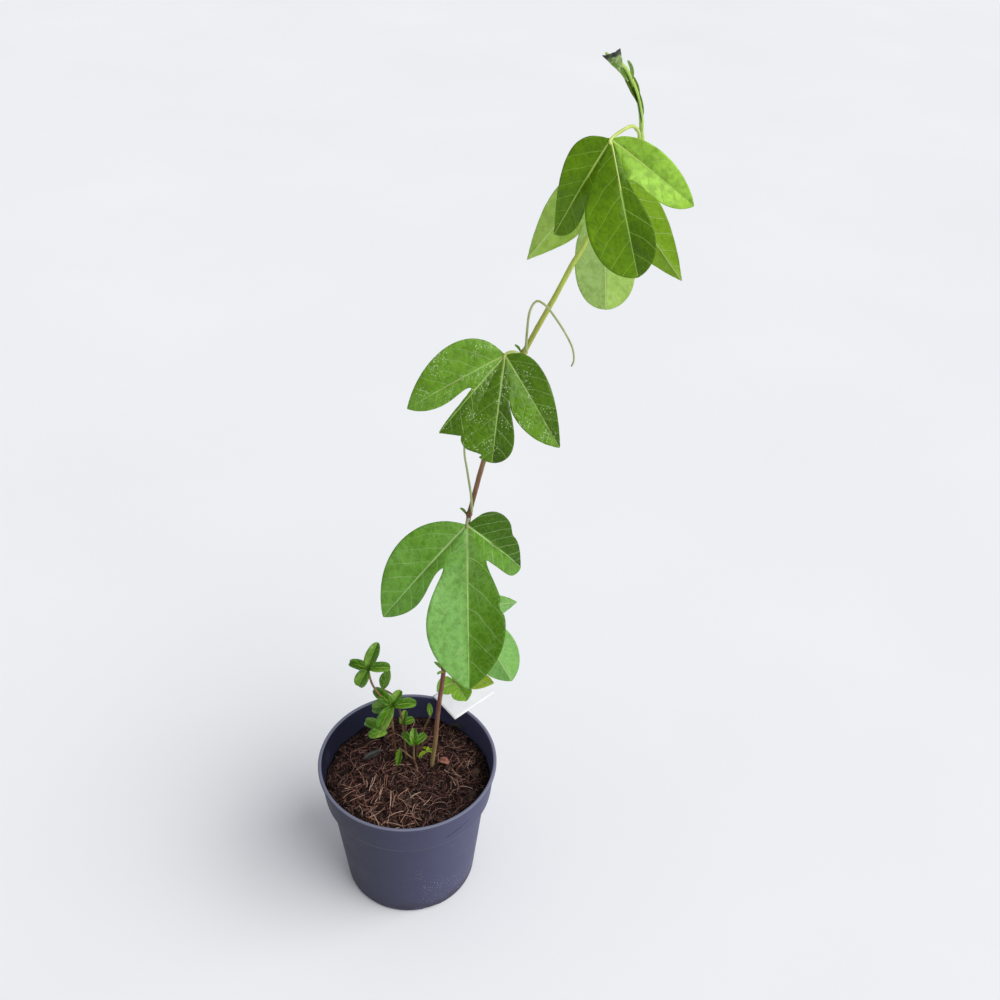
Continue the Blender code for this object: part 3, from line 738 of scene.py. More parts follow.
def chip_tree():
    """Flat broken chips."""
    tree = Strewing("strewn_chips", "Size", "Flatness")
    flatness = tree.given["Flatness"]
    lump = tree.put("GeometryNodeMeshIcoSphere", {"Radius": 0.5, "Subdivisions": 2})
    place = tree.put("GeometryNodeInputPosition").outputs["Position"]
    rough = tree.put("ShaderNodeTexNoise", {"Vector": place, "Scale": 2.6, "Detail": 2.0}).outputs["Color"]
    push = tree.put("ShaderNodeVectorMath", {0: rough, 1: (-0.5, -0.5, -0.5)}, operation="ADD")
    broken = tree.put("GeometryNodeSetPosition", {
        "Geometry": lump.outputs["Mesh"], "Offset": tree.scaled(push.outputs["Vector"], 1.1),
    })
    spin = tree.random_vector((-0.5, -0.5, 0.0), (0.5, 0.5, math.tau))
    shape = tree.random_vector(tree.vector(0.5, 0.25, flatness), tree.vector(1.2, 0.8, flatness))
    tree.close(tree.strew(broken.outputs["Geometry"], spin, tree.scaled(shape, tree.given["Size"])), 5)
    return tree


def strewn(name, tree, base, finish, seed, *sizes):
    """The tree's copies over a copy of the base surface, as one plain mesh."""
    thing = in_scene(name, base.copy())
    modifier = thing.modifiers.new("strewn", "NODES")
    modifier.node_group = tree.tree
    for socket, value in zip(tree.inputs, (*sizes, SEED + seed, finish)):
        modifier[socket] = value
    settle(applied(thing), None)


def make_litter():
    """Coir fibres, straw, bark chips and crumbs on the mix."""
    coir = strand_surface(
        "coir_fibre", (0.0, (0.010, 0.005, 0.005)), (0.42, (0.052, 0.020, 0.017)),
        (0.74, (0.23, 0.095, 0.080)), (1.0, (0.60, 0.38, 0.30)),
    )
    straw = strand_surface(
        "straw", (0.0, (0.22, 0.09, 0.06)), (0.6, (0.48, 0.26, 0.18)), (1.0, (0.76, 0.54, 0.42)),
    )
    bark = strand_surface(
        "bark_chip", (0.0, (0.010, 0.008, 0.008)), (0.5, (0.035, 0.022, 0.018)), (1.0, (0.09, 0.055, 0.04)),
    )
    crumb = strand_surface(
        "crumb", (0.0, (0.016, 0.010, 0.008)), (0.6, (0.06, 0.030, 0.020)), (1.0, (0.14, 0.075, 0.05)),
    )
    inside = soil_patch(0.0, 47.5)
    wide = soil_patch(0.0, 53.5)
    front = soil_patch(14.0, 45.0, math.radians(195.0), math.radians(285.0))
    strands = strand_tree()
    # After the seed: density, length, thickness, bend, tilt and lift
    strewn("coir_long", strands, inside, coir, 0, 130000.0, 0.014, 0.00015, 0.30, 0.45, 0.0010)
    strewn("coir_curled", strands, wide, coir, 1, 260000.0, 0.0058, 0.00012, 0.55, 0.6, 0.0006)
    strewn("straw_bits", strands, inside, straw, 2, 9000.0, 0.013, 0.00024, 0.16, 0.35, 0.0014)
    strewn("straw_front", strands, front, straw, 3, 26000.0, 0.014, 0.00030, 0.14, 0.32, 0.0016)
    chips = chip_tree()
    # After the seed: density, size and flatness
    strewn("bark_chips", chips, wide, bark, 4, 16000.0, 0.0046, 0.22)
    strewn("bark_slabs", chips, inside, bark, 6, 1800.0, 0.012, 0.16)
    strewn("crumbs", chips, wide, crumb, 5, 110000.0, 0.0018, 0.6)


# Leaf blades


def leaf_axes(heading, droop, roll):
    """The leaf's own X (middle lobe), Y and Z (upper face) as world directions."""
    turn = math.radians(heading)
    dip = math.radians(droop)
    lean = math.radians(roll)
    along = Vector((math.cos(dip) * math.cos(turn), math.cos(dip) * math.sin(turn), -math.sin(dip)))
    level = UP.cross(along).normalized()
    across = level * math.cos(lean) + along.cross(level) * math.sin(lean)
    return along, across, along.cross(across)


def lobe(angle, lift, length, curl, left, right, bumps_left=(), bumps_right=(), fold=12.0):
    """One lobe, its angles in degrees and its length in mm. Its sides are (u, w, a, w1, b, w2): the start
    of the free margin and the two handles of the curve from there to the tip, as parts of the length.
    """
    return {
        "angle": math.radians(angle), "lift": math.radians(lift), "length": length * MM,
        "curl": math.radians(curl), "fold": math.radians(fold),
        1: (left, bumps_left), -1: (right, bumps_right),
    }


def lobe_point(part, u, w):
    """The place at u along a lobe, as a part of its length, and w metres across it."""
    curl = part["curl"]
    start = part["lift"] + curl / 2.0
    arc = part["length"] * (curl / 2.0) / math.sin(curl / 2.0)
    lean = start - curl * u
    ahead = arc / curl * (math.sin(start) - math.sin(lean))
    rise = arc / curl * (math.cos(lean) - math.cos(start))
    out = Vector((math.cos(part["angle"]), math.sin(part["angle"]), 0.0))
    side = Vector((-out.y, out.x, 0.0))
    normal = UP * math.cos(lean) - out * math.sin(lean)
    tilt = part["fold"]
    return out * ahead + UP * rise + side * w * math.cos(tilt) + normal * abs(w) * math.sin(tilt)


def bezier(a, b, c, d, t):
    s = 1.0 - t
    return a * s * s * s + 3.0 * b * s * s * t + 3.0 * c * s * t * t + d * t * t * t


def margin(part, side, t):
    """The free margin at t from its start to the tip; each bump is (place, spread, height)."""
    (u_start, w_start, a, w1, b, w2), bumps = part[side]
    rest = 1.0 - u_start
    u = bezier(u_start, u_start + a * rest, 1.0 - b * rest, 1.0, t)
    w = bezier(w_start, w1, w2, 0.0, t)
    for place, spread, height in bumps:
        w += height * math.exp(-(((t - place) / spread) ** 2)) * (1.0 - t) ** 0.3
    return u, side * w * part["length"]


def blade_point(part, sinuses, t, v, shared):
    """The place on a lobe, with its own (along, across) there."""
    starts = (part[1][0][0], part[-1][0][0])
    hub = 0.85 * (sum(starts) / 2.0 if min(starts) > 0.0 else max(starts))
    after = max(0.0, (t - shared) / (1.0 - shared))
    middle = hub * t / shared if t <= shared else hub + (1.0 - hub) * after
    side = 1 if v > 0.0 else -1
    across = abs(v)
    sinus = sinuses[side]
    if sinus is not None and t <= shared:
        u, w = margin(part, side, 0.0)
        u, w = u * t / shared, w * t / shared
        place = lobe_point(part, middle, 0.0).lerp(sinus * (t / shared), across)
        return place, middle + (u - middle) * across, w * across
    if sinus is None:
        near = min(1.0, t * 8.0)
        u, w = margin(part, side, t)
        u, w = u * near, w * near
        shift = Vector()
    else:
        u, w = margin(part, side, after)
        shift = (sinus - lobe_point(part, *margin(part, side, 0.0))) * (1.0 - after) ** 2
    u, w = middle + (u - middle) * across, w * across
    return lobe_point(part, u, w) + shift * across, u, w


def quilting(across, along, length, per_lobe, depth):
    """Relief in metres: sunk along the midrib and side veins, puffed up between them."""
    w = abs(across)
    stagger = VEIN_STAGGER if across > 0.0 else -VEIN_STAGGER
    run = (along - VEIN_SWEEP * w - VEIN_BEND * w * w) / length * per_lobe + stagger
    puff = math.sin(abs((run % 1.0) - 0.5) * math.pi) ** 0.8
    rib = math.exp(-((w / 0.0011) ** 2))
    return depth * (puff * min(1.0, w / 0.004) - 0.9 * rib)


def painted_light_tone(painted_light_tones, index, v, welded):
    """The painted light and shade at v across a lobe: its side's own, easing to the middle and to a welded
    neighbour's.
    """
    right, left = painted_light_tones[index]
    own = left if v > 0.0 else right
    middle = (right + left) / 2.0
    tone = middle + (own - middle) * min(1.0, abs(v) * 5.0)
    after = index + (1 if v > 0.0 else -1)
    if welded and 0 <= after < len(painted_light_tones):
        other = painted_light_tones[after][0 if v > 0.0 else 1]
        tone += ((own + other) / 2.0 - tone) * abs(v) ** 2
    return tone


def blade_sheet(lobes, base, axes, painted_light_tones, rows, columns, shared):
    """The flat-surfaced blade with its maps, its lobes welded along the run to each sinus."""
    along, across, normal = axes
    cuts = [None]
    for right, left in zip(lobes, lobes[1:]):
        ends = lobe_point(right, *margin(right, 1, 0.0)) + lobe_point(left, *margin(left, -1, 0.0))
        cuts.append(ends / 2.0)
    cuts.append(None)
    bm = bmesh.new()
    lobe_map, reach_map, painted_light_map = (bm.loops.layers.uv.new(name) for name in ("lobe", "reach", "tone"))
    for index, part in enumerate(lobes):
        sinuses = {1: cuts[index + 1], -1: cuts[index]}
        reach = part["length"] * CM_PER_METRE
        grid = bmesh.ops.create_grid(bm, x_segments=2 * columns, y_segments=rows, size=1.0)
        spots = {}
        for vertex in grid["verts"]:
            t = (vertex.co.y + 1.0) / 2.0
            place, u, w = blade_point(part, sinuses, t, vertex.co.x, shared)
            spots[vertex] = (u, w, painted_light_tone(painted_light_tones, index, vertex.co.x, t <= shared))
            vertex.co = base + along * place.x + across * place.y + normal * place.z
        for corner in {corner for vertex in grid["verts"] for corner in vertex.link_loops}:
            u, w, tone = spots[corner.vert]
            corner[lobe_map].uv = (w * CM_PER_METRE, u * reach)
            corner[reach_map].uv = (u, reach)
            # The tone map holds each lobe side's painted light and shade.
            corner[painted_light_map].uv = (tone, 0.0)
    bmesh.ops.remove_doubles(bm, verts=bm.verts, dist=0.00002)
    bmesh.ops.recalc_face_normals(bm, faces=bm.faces)
    bm.normal_update()
    if sum(face.normal.dot(normal) for face in bm.faces) < 0.0:
        bmesh.ops.reverse_faces(bm, faces=bm.faces)
    return bm


def add_relief(bm, base, depth, wave, wave_size, per_lobe):
    """Sunk veins and a waved margin, by the blade's own maps."""
    maps = bm.loops.layers.uv
    bm.normal_update()
    moved = []
    for vertex in bm.verts:
        relief = 0.0
        for corner in vertex.link_loops:
            w, u = corner[maps["lobe"]].uv
            relief += quilting(w * CM, u * CM, corner[maps["reach"]].uv.y * CM, per_lobe, depth)
        relief /= max(1, len(vertex.link_loops))
        if vertex.is_boundary:
            relief *= 0.3
        near = min(1.0, (vertex.co - base).length / 0.02)
        relief += wave * near * noise.noise(vertex.co * wave_size + Vector((SEED, 0.0, 0.0)))
        moved.append((vertex, vertex.normal * relief))
    for vertex, step in moved:
        vertex.co += step


def blade(name, lobes, base, axes, faces, painted_light_tones, rows, columns, shared, thickness, depth, wave,
          wave_size=70.0, per_lobe=LEAF_VEINS, smooth=4):
    """A leaf blade; faces are the materials of its upper and under side."""
    bm = blade_sheet(lobes, base, axes, painted_light_tones, rows, columns, shared)
    inner = [vertex for vertex in bm.verts if not vertex.is_boundary]
    for _ in range(smooth):
        bmesh.ops.smooth_vert(bm, verts=inner, factor=0.5, use_axis_x=True, use_axis_y=True, use_axis_z=True)
    add_relief(bm, base, depth, wave, wave_size, per_lobe)
    thing = mesh_object(name, bm)
    for finish in faces:
        thing.data.materials.append(finish)
    return thickened(thing, thickness, under=1)


# The large leaves


ROWS_PER_BAND = 5
WELDED_BANDS = 4.0
LEAF_THICKNESS = 0.45
RIB_START = 0.02
RIB_REACH = 0.9
RIB_STEPS = 8
RIB_DROP = 0.00022
MIDDLE_RIB = 0.34
SIDE_RIB = 0.26
LOWEST = [
    lobe(-93.5, 7.5, 14.0, 20.0, (0.55, 0.42, 0.3, 0.55, 0.3, 0.5), (0.0, 0.0, 0.1, 0.7, 0.3, 0.6)),
    lobe(-8.0, 0.0, 17.5, 25.0, (0.55, 0.40, 0.3, 0.50, 0.3, 0.4), (0.60, 0.34, 0.3, 0.50, 0.3, 0.4)),
    lobe(36.7, 15.8, 29.6, 25.0, (0.0, 0.0, 0.1, 0.42, 0.3, 0.34), (0.36, 0.26, 0.3, 0.34, 0.3, 0.26)),
]
LOW_FAR = [
    lobe(-65.5, 10.9, 31.8, 30.0, (0.40, 0.26, 0.2, 0.30, 0.3, 0.20), (0.0, 0.0, 0.1, 0.34, 0.3, 0.24)),
    lobe(0.0, 0.0, 55.1, 24.0, (0.30, 0.17, 0.2, 0.30, 0.2, 0.36), (0.30, 0.17, 0.2, 0.30, 0.2, 0.36)),
    lobe(54.6, 5.3, 34.7, 30.0, (0.0, 0.0, 0.1, 0.34, 0.3, 0.28), (0.42, 0.28, 0.2, 0.32, 0.3, 0.26)),
]
BROADEST = [
    lobe(-42.0, -6.6, 68.6, 30.0, (0.38, 0.10, 0.2, 0.03, 0.45, 0.30), (0.0, 0.0, 0.18, 0.37, 0.35, 0.43),
         fold=8.0),
    lobe(1.4, 0.0, 89.9, 30.0, (0.25, 0.105, 0.12, 0.10, 0.44, 0.44), (0.28, 0.15, 0.12, 0.15, 0.45, 0.47),
         bumps_left=((0.48, 0.04, -0.03),), fold=10.0),
    lobe(57.5, -40.5, 48.8, 30.0, (0.0, 0.0, 0.10, 0.66, 0.3, 0.18), (0.44, 0.17, 0.1, 0.12, 0.05, 0.30),
         bumps_left=((0.60, 0.07, -0.05),), fold=10.0),
]
MIDDLE = [
    lobe(-53.7, -5.9, 56.3, 30.0, (0.40, 0.12, 0.1, 0.05, 0.45, 0.26), (0.0, 0.0, 0.10, 0.40, 0.45, 0.42)),
    lobe(-32.5, -2.9, 51.0, 30.0, (0.85, 0.18, 0.3, 0.14, 0.3, 0.06), (0.46, 0.033, 0.3, 0.015, 0.3, 0.03),
         fold=4.0),
    lobe(0.9, 0.0, 54.4, 30.0, (0.41, 0.09, 0.1, 0.07, 0.12, 0.36), (0.80, 0.30, 0.3, 0.34, 0.25, 0.20),
         bumps_right=((0.62, 0.10, -0.12),), fold=8.0),
    lobe(39.0, -7.4, 54.4, 30.0, (0.0, 0.0, 0.1, 0.38, 0.4, 0.20), (0.37, 0.19, 0.2, 0.26, 0.4, 0.26)),
]
HIGH_FAR = [
    lobe(-34.5, 1.1, 69.3, 24.0, (0.42, 0.14, 0.2, 0.22, 0.4, 0.16), (0.0, 0.0, 0.2, 0.30, 0.4, 0.20)),
    lobe(-0.5, 0.0, 71.5, 30.0, (0.42, 0.14, 0.2, 0.24, 0.02, 0.30), (0.42, 0.13, 0.2, 0.24, 0.02, 0.30)),
    lobe(41.4, 3.4, 60.3, 24.0, (0.0, 0.0, 0.2, 0.32, 0.4, 0.20), (0.48, 0.15, 0.2, 0.24, 0.4, 0.14)),
]
HIGH_NEAR = [
    lobe(-45.6, -19.0, 50.9, 30.0, (0.50, 0.09, 0.1, 0.09, 0.25, 0.28), (0.0, 0.0, 0.10, 0.46, 0.45, 0.18),
         fold=8.0),
    lobe(0.0, 0.0, 62.6, 34.0, (0.33, 0.06, 0.12, 0.05, 0.25, 0.37), (0.37, 0.22, 0.2, 0.34, 0.10, 0.34)),
    lobe(41.4, -17.0, 49.3, 30.0, (0.0, 0.0, 0.15, 0.24, 0.4, 0.26), (0.33, 0.19, 0.2, 0.12, 0.35, 0.30)),
]

# Node, slot, foot of the blade, (heading, droop, roll), lobes, bands of rows along each lobe, petiole,
# and the painted light and shade of each lobe's right and left side, as tones from shaded (0) to lit (1)
VINE_LEAVES = [
    ("leaf_1", "leaf", (31.0, 24.0, 156.0), (-53.2, 4.0, 12.9), LOWEST, 8,
     [(25.0, 9.6, 186.2, 0.75), (27.0, 17.0, 176.0, 0.70)],
     [(0.5, 0.5), (0.5, 0.3), (0.8, 0.9)]),
    ("leaf_2", "pale_leaf", (39.5, 20.0, 223.8), (-32.3, 51.6, -131.0), LOW_FAR, 9,
     [(34.0, 5.2, 238.5, 0.80), (37.2, 13.0, 237.0, 0.75)],
     [(0.5, 0.6), (0.45, 0.45), (0.9, 0.8)]),
    ("leaf_3", "leaf", (40.0, -22.0, 323.9), (-88.6, 44.5, -0.4), BROADEST, 10,
     [(40.4, -7.4, 316.8, 0.85), (40.2, -15.0, 322.0, 0.80)],
     [(0.56, 0.60), (0.80, 0.26), (0.50, 0.02)]),
    ("leaf_4", "leaf", (58.5, -22.0, 431.5), (-101.3, 54.7, -9.8), MIDDLE, 10,
     [(66.0, -9.2, 425.0, 0.85), (62.0, -16.0, 430.0, 0.80)],
     [(0.70, 0.85), (0.5, 0.3), (0.35, 0.12), (0.60, 0.35)]),
    ("leaf_5", "pale_leaf", (104.1, 22.0, 510.0), (-53.3, 82.4, -138.1), HIGH_FAR, 10,
     [(106.2, 10.4, 507.0, 0.80), (105.0, 17.0, 511.5, 0.75)],
     [(0.16, 0.24), (0.80, 0.90), (0.62, 0.66)]),
    ("leaf_6", "leaf", (103.3, -18.0, 540.7), (-65.6, 56.5, 27.9), HIGH_NEAR, 10,
     [(118.2, 3.3, 533.3, 0.80), (116.5, -4.0, 540.0, 0.80), (112.0, -10.5, 544.0, 0.80)],
     [(0.40, 0.34), (0.44, 0.14), (0.95, 1.0)]),
]


def rib_run(part, base, axes, thick):
    """The raised rib under a lobe, as tube points in mm."""
    along, across, normal = axes
    run = []
    for index in range(RIB_STEPS + 1):
        place = lobe_point(part, RIB_START + (RIB_REACH - RIB_START) * index / RIB_STEPS, 0.0)
        spot = base + along * place.x + across * place.y + normal * place.z - normal * RIB_DROP
        run.append((*(spot / MM), thick * (1.0 - 0.8 * index / RIB_STEPS)))
    return run


def make_vine_leaves():
    stalk_green = stalk_surface()
    under_green = leaf_surface("leaf_underside", 0.55, glow=0.2)
    under_pale = leaf_surface("pale_underside", 0.5, glow=0.2)
    tops = {
        "leaf_1": leaf_surface("glossy_low_leaf", 0.28),
        "leaf_2": leaf_surface("low_leaf"),
        "leaf_3": leaf_surface("broad_leaf"),
        "leaf_4": leaf_surface("middle_leaf", 0.35, specks=0.75, relief=0.0016, gloss=0.34),
        "leaf_5": leaf_surface("upper_leaf"),
        "leaf_6": leaf_surface("top_leaf", 0.36, vein_share=0.62),
    }
    for node, slot, base, turn, lobes, bands, petiole, painted_light_tones in VINE_LEAVES:
        axes = leaf_axes(*turn)
        root = Vector(base) * MM
        small = node == "leaf_1"
        under = under_pale if node == "leaf_5" else under_green
        face = blade(
            node + "_blade", lobes, root, axes, (tops[node], under), painted_light_tones,
            rows=ROWS_PER_BAND * bands, columns=12 if small else 16, shared=WELDED_BANDS / bands,
            thickness=LEAF_THICKNESS, depth=0.0002 if small else 0.00034, wave=0.0006 if small else 0.0011,
        )
        settle(face, node)
        end = Vector(base) + axes[0] * 3.0 - axes[2] * 0.2
        middle = lobes[len(lobes) // 2]
        runs = [[*petiole, (*base, 0.82), (*end, 0.6)]]
        runs += [rib_run(part, root, axes, MIDDLE_RIB if part is middle else SIDE_RIB) for part in lobes]
        tube_piece(node + "_petiole", runs, stalk_green, node, steps=5, rough=0.06)


# The stem, its nodes and tendrils


STEM_RUN = [
    (15.7, 9.5, 76.5, 1.60), (15.7, 9.5, 92.0, 1.62), (18.4, 8.5, 116.0, 1.55), (20.5, 7.5, 144.5, 1.52),
    (22.7, 7.0, 165.5, 1.52), (24.8, 6.0, 186.4, 2.10), (28.6, 4.0, 212.7, 1.46), (32.7, 2.0, 238.0, 1.90),
    (37.0, -1.0, 281.6, 1.42), (40.5, -4.0, 317.8, 2.00), (44.0, -5.0, 335.5, 1.42),
    (48.5, -6.0, 356.6, 1.40), (56.6, -7.0, 390.9, 1.40), (68.2, -6.0, 424.4, 2.00),
    (75.8, -4.0, 440.2, 1.38), (83.2, -1.0, 454.6, 1.36), (90.5, 2.0, 469.7, 1.34), (96.4, 4.0, 480.6, 1.32),
    (102.7, 6.0, 496.1, 1.32), (106.4, 7.0, 505.9, 1.85), (114.3, 7.0, 520.9, 1.22),
    (119.3, 6.0, 533.0, 1.65), (118.5, 4.0, 542.1, 1.10), (116.3, 1.0, 551.3, 1.05),
    (112.7, -3.0, 560.6, 1.00), (108.0, -7.0, 568.7, 0.95), (103.0, -10.0, 573.3, 0.85),
    (98.8, -12.0, 576.3, 0.60),
]
NODE_RADIUS = 1.64
NODE_REACH = 3.0
TENDRIL_RUNS = {
    "tendril_low": [
        (42.1, -6.4, 321.2, 0.70), (41.6, -8.8, 334.9, 0.65), (39.4, -4.0, 347.3, 0.62),
        (37.6, 0.0, 357.5, 0.60), (38.3, 4.0, 368.0, 0.56), (41.4, 6.0, 375.9, 0.50),
    ],
    "tendril_high": [
        (69.0, -9.0, 426.4, 0.70), (69.2, -12.0, 438.7, 0.66), (70.0, -16.0, 452.5, 0.62),
        (72.9, -18.0, 459.4, 0.60), (76.8, -18.0, 458.1, 0.58), (81.0, -17.0, 452.8, 0.56),
        (87.6, -14.0, 441.4, 0.54), (92.3, -11.0, 430.8, 0.52), (93.7, -10.0, 423.3, 0.50),
        (92.8, -9.0, 418.6, 0.46),
    ],
}


def beside(point, other):
    """A point a little way from one stem point to another, as thick as the other."""
    here = Vector(point[:3])
    return (*((Vector(other[:3]) - here).normalized() * NODE_REACH + here), other[3])


def with_nodes(points):
    """The run with a slimmer ring before and after each swollen node."""
    run = [points[0]]
    for before, point, after in zip(points, points[1:], points[2:]):
        swollen = point[3] >= NODE_RADIUS
        run += [beside(point, before), point, beside(point, after)] if swollen else [point]
    return [*run, points[-1]]


def make_stem():
    stem = with_nodes(STEM_RUN)
    tube_piece("climbing_stem", [stem], stem_surface(), "vine_stem", sides=20, rough=0.10)
    for node, points in TENDRIL_RUNS.items():
        green = mottled("tendril_green", (0.32, 0.40, 0.14), 0.45, 90.0, (0.35, (0.26, 0.33, 0.10)),
                        (0.65, (0.46, 0.52, 0.24)), grain=900.0, strength=0.2)
        tube_piece(node + "_curl", [points], green, node, steps=8, sides=12, rough=0.05)


# Small leaves: the growing tip, the bud and scales, and the shoots at the foot


# Painted light and shade of each leaflet's right and left side, from shaded (0) to lit (1)
LEAFLET_PAINTED_LIGHT = ((0.62, 0.30), (0.30, 0.75), (0.50, 0.15))
# Lift, curl and fold in degrees, taken in turn by the leaflets of a fan
LEAFLET_SHAPES = ((-16.0, 70.0, 34.0), (22.0, 90.0, 24.0), (6.0, 105.0, 38.0), (-24.0, 60.0, 20.0))
LEAFLET_THICKNESS = 0.4
FLAKE_THICKNESS = 0.45
# Heading, droop and roll of the shoots' fans
FACING = (90.0, -35.0, 0.0)


def single(length, width, curl, fold):
    """The one lobe of a simple leaf; its width is a share of its length."""
    edge = (0.0, 0.0, 0.3, width, 0.3, width)
    return [lobe(0.0, 0.0, length, curl, edge, edge, fold=fold)]


def fan(*leaflets):
    """Separate leaflets from one point, each (angle, length, width as a share of the length)."""
    parts = []
    for index, (angle, length, width) in enumerate(leaflets):
        edge = (0.0, 0.0, 0.16, width * 1.12, 0.12, width * 1.05)
        lift, curl, fold = LEAFLET_SHAPES[index % len(LEAFLET_SHAPES)]
        parts.append(lobe(angle, lift, length, curl, edge, edge, fold=fold))
    return parts


def small_leaf(name, base, turn, lobes, faces, node=None, rows=22, columns=6,
               depth=0.0005, wave=0.0014):
    painted_light_tones = [LEAFLET_PAINTED_LIGHT[index % len(LEAFLET_PAINTED_LIGHT)] for index in range(len(lobes))]
    leaf = blade(
        name, lobes, Vector(base) * MM, leaf_axes(*turn), faces, painted_light_tones, rows, columns, shared=1.0 / 3.0,
        thickness=LEAFLET_THICKNESS, depth=depth, wave=wave, wave_size=170.0, per_lobe=YOUNG_VEINS, smooth=2,
    )
    settle(leaf, node)


def make_tip(young):
    """The folded young leaves, the two that clasp the growing tip, and the dry flake at its end."""
    for node, base, turn, length in (
        ("young_leaf_upper", (112.0, -4.6, 563.6), (214.0, -70.0, 0.0), 9.0),
        ("young_leaf_lower", (109.6, -7.2, 563.2), (202.0, -45.0, 0.0), 14.5),
    ):
        small_leaf(node + "_blade", base, turn, single(length, 0.17, 6.0, 40.0), young, node)
    clasping = leaf_surface("clasping_leaf", per_lobe=YOUNG_VEINS, vein_share=0.3)
    for name, base, turn, length, width in (
        ("clasping_leaf_1", (119.0, 4.8, 539.5), (229.0, -64.0, -80.0), 25.0, 0.12),
        ("clasping_leaf_2", (116.2, 1.4, 550.5), (219.0, -54.0, -80.0), 24.0, 0.19),
    ):
        small_leaf(name, base, turn, single(length, width, 12.0, 34.0), (clasping, clasping),
                   depth=0.0003, wave=0.0004)
    make_flake()


def make_flake():
    """A crumpled sheet that opens from a narrow foot to its two far corners, in mm."""
    foot = Vector((107.6, -7.6, 565.4))
    left = Vector((97.2, -13.0, 575.6))
    right = Vector((105.0, -10.8, 578.0))
    facing = (left - foot).cross(right - foot).normalized()
    bm = bmesh.new()
    bmesh.ops.create_grid(bm, x_segments=16, y_segments=20, size=0.5)
    for vertex in bm.verts:
        t = vertex.co.x + 0.5
        s = 0.06 + 0.94 * (vertex.co.y + 0.5)
        place = foot.lerp(left.lerp(right, t), s)
        crumple = 0.9 * noise.noise(place * 0.42) + 0.5 * noise.noise(place * 1.1)
        vertex.co = (place + facing * (crumple * s - 1.4 * math.sin(t * math.pi) * s)) * MM
    flake = thickened(mesh_object("dry_flake", bm), FLAKE_THICKNESS)
    settle(flake, None, flake_surface())


def make_foot_bud():
    """The small yellow-green bud that opens beside the stem's foot."""
    opening = leaf_surface("opening_bud", per_lobe=YOUNG_VEINS, vein_share=0.4)
    stalk = [(16.9, 9.0, 102.0, 0.7), (14.6, 7.9, 106.0, 0.6), (12.0, 6.8, 106.0, 0.45)]
    tube_piece("foot_bud_stalk", [stalk], opening, None, steps=5)
    for name, base, turn, lobes in (
        ("foot_bud_leaf_1", (14.8, 8.0, 104.6), (235.0, -50.0, 0.0), single(6.5, 0.42, 110.0, 34.0)),
        ("foot_bud_leaf_2", (12.6, 7.0, 106.6), (205.0, 35.0, 0.0), single(7.5, 0.30, 60.0, 24.0)),
        ("foot_bud_leaf_3", (13.6, 7.4, 106.0), (160.0, -30.0, 0.0), single(5.0, 0.30, 80.0, 30.0)),
    ):
        small_leaf(name, base, turn, lobes, (opening, opening), rows=14, columns=5)


def make_fallen_bits():
    """A red dry leaf and two dark strips of bark that lie on the mix."""
    dry = mottled("dry_red_leaf", (0.36, 0.13, 0.09), 0.6, 260.0,
                  (0.3, (0.22, 0.06, 0.045)), (0.7, (0.52, 0.24, 0.17)))
    dark = mottled("dark_bark_strip", (0.02, 0.02, 0.02), 0.5, 180.0,
                   (0.3, (0.008, 0.008, 0.008)), (0.7, (0.045, 0.042, 0.040)))
    for name, base, turn, lobes, finish in (
        ("fallen_leaf", (20.4, 12.4, 92.2), (-35.0, -14.0, 12.0), single(9.0, 0.40, 50.0, 20.0), dry),
        ("bark_strip_left", (-33.0, 11.0, 91.4), (30.0, -5.0, 8.0), single(17.0, 0.20, 24.0, 12.0), dark),
        ("bark_strip_back", (25.0, 46.0, 91.8), (-14.0, -2.0, -6.0), single(16.0, 0.18, 16.0, 8.0), dark),
    ):
        small_leaf(name, base, turn, lobes, (finish, finish), rows=16, columns=5)


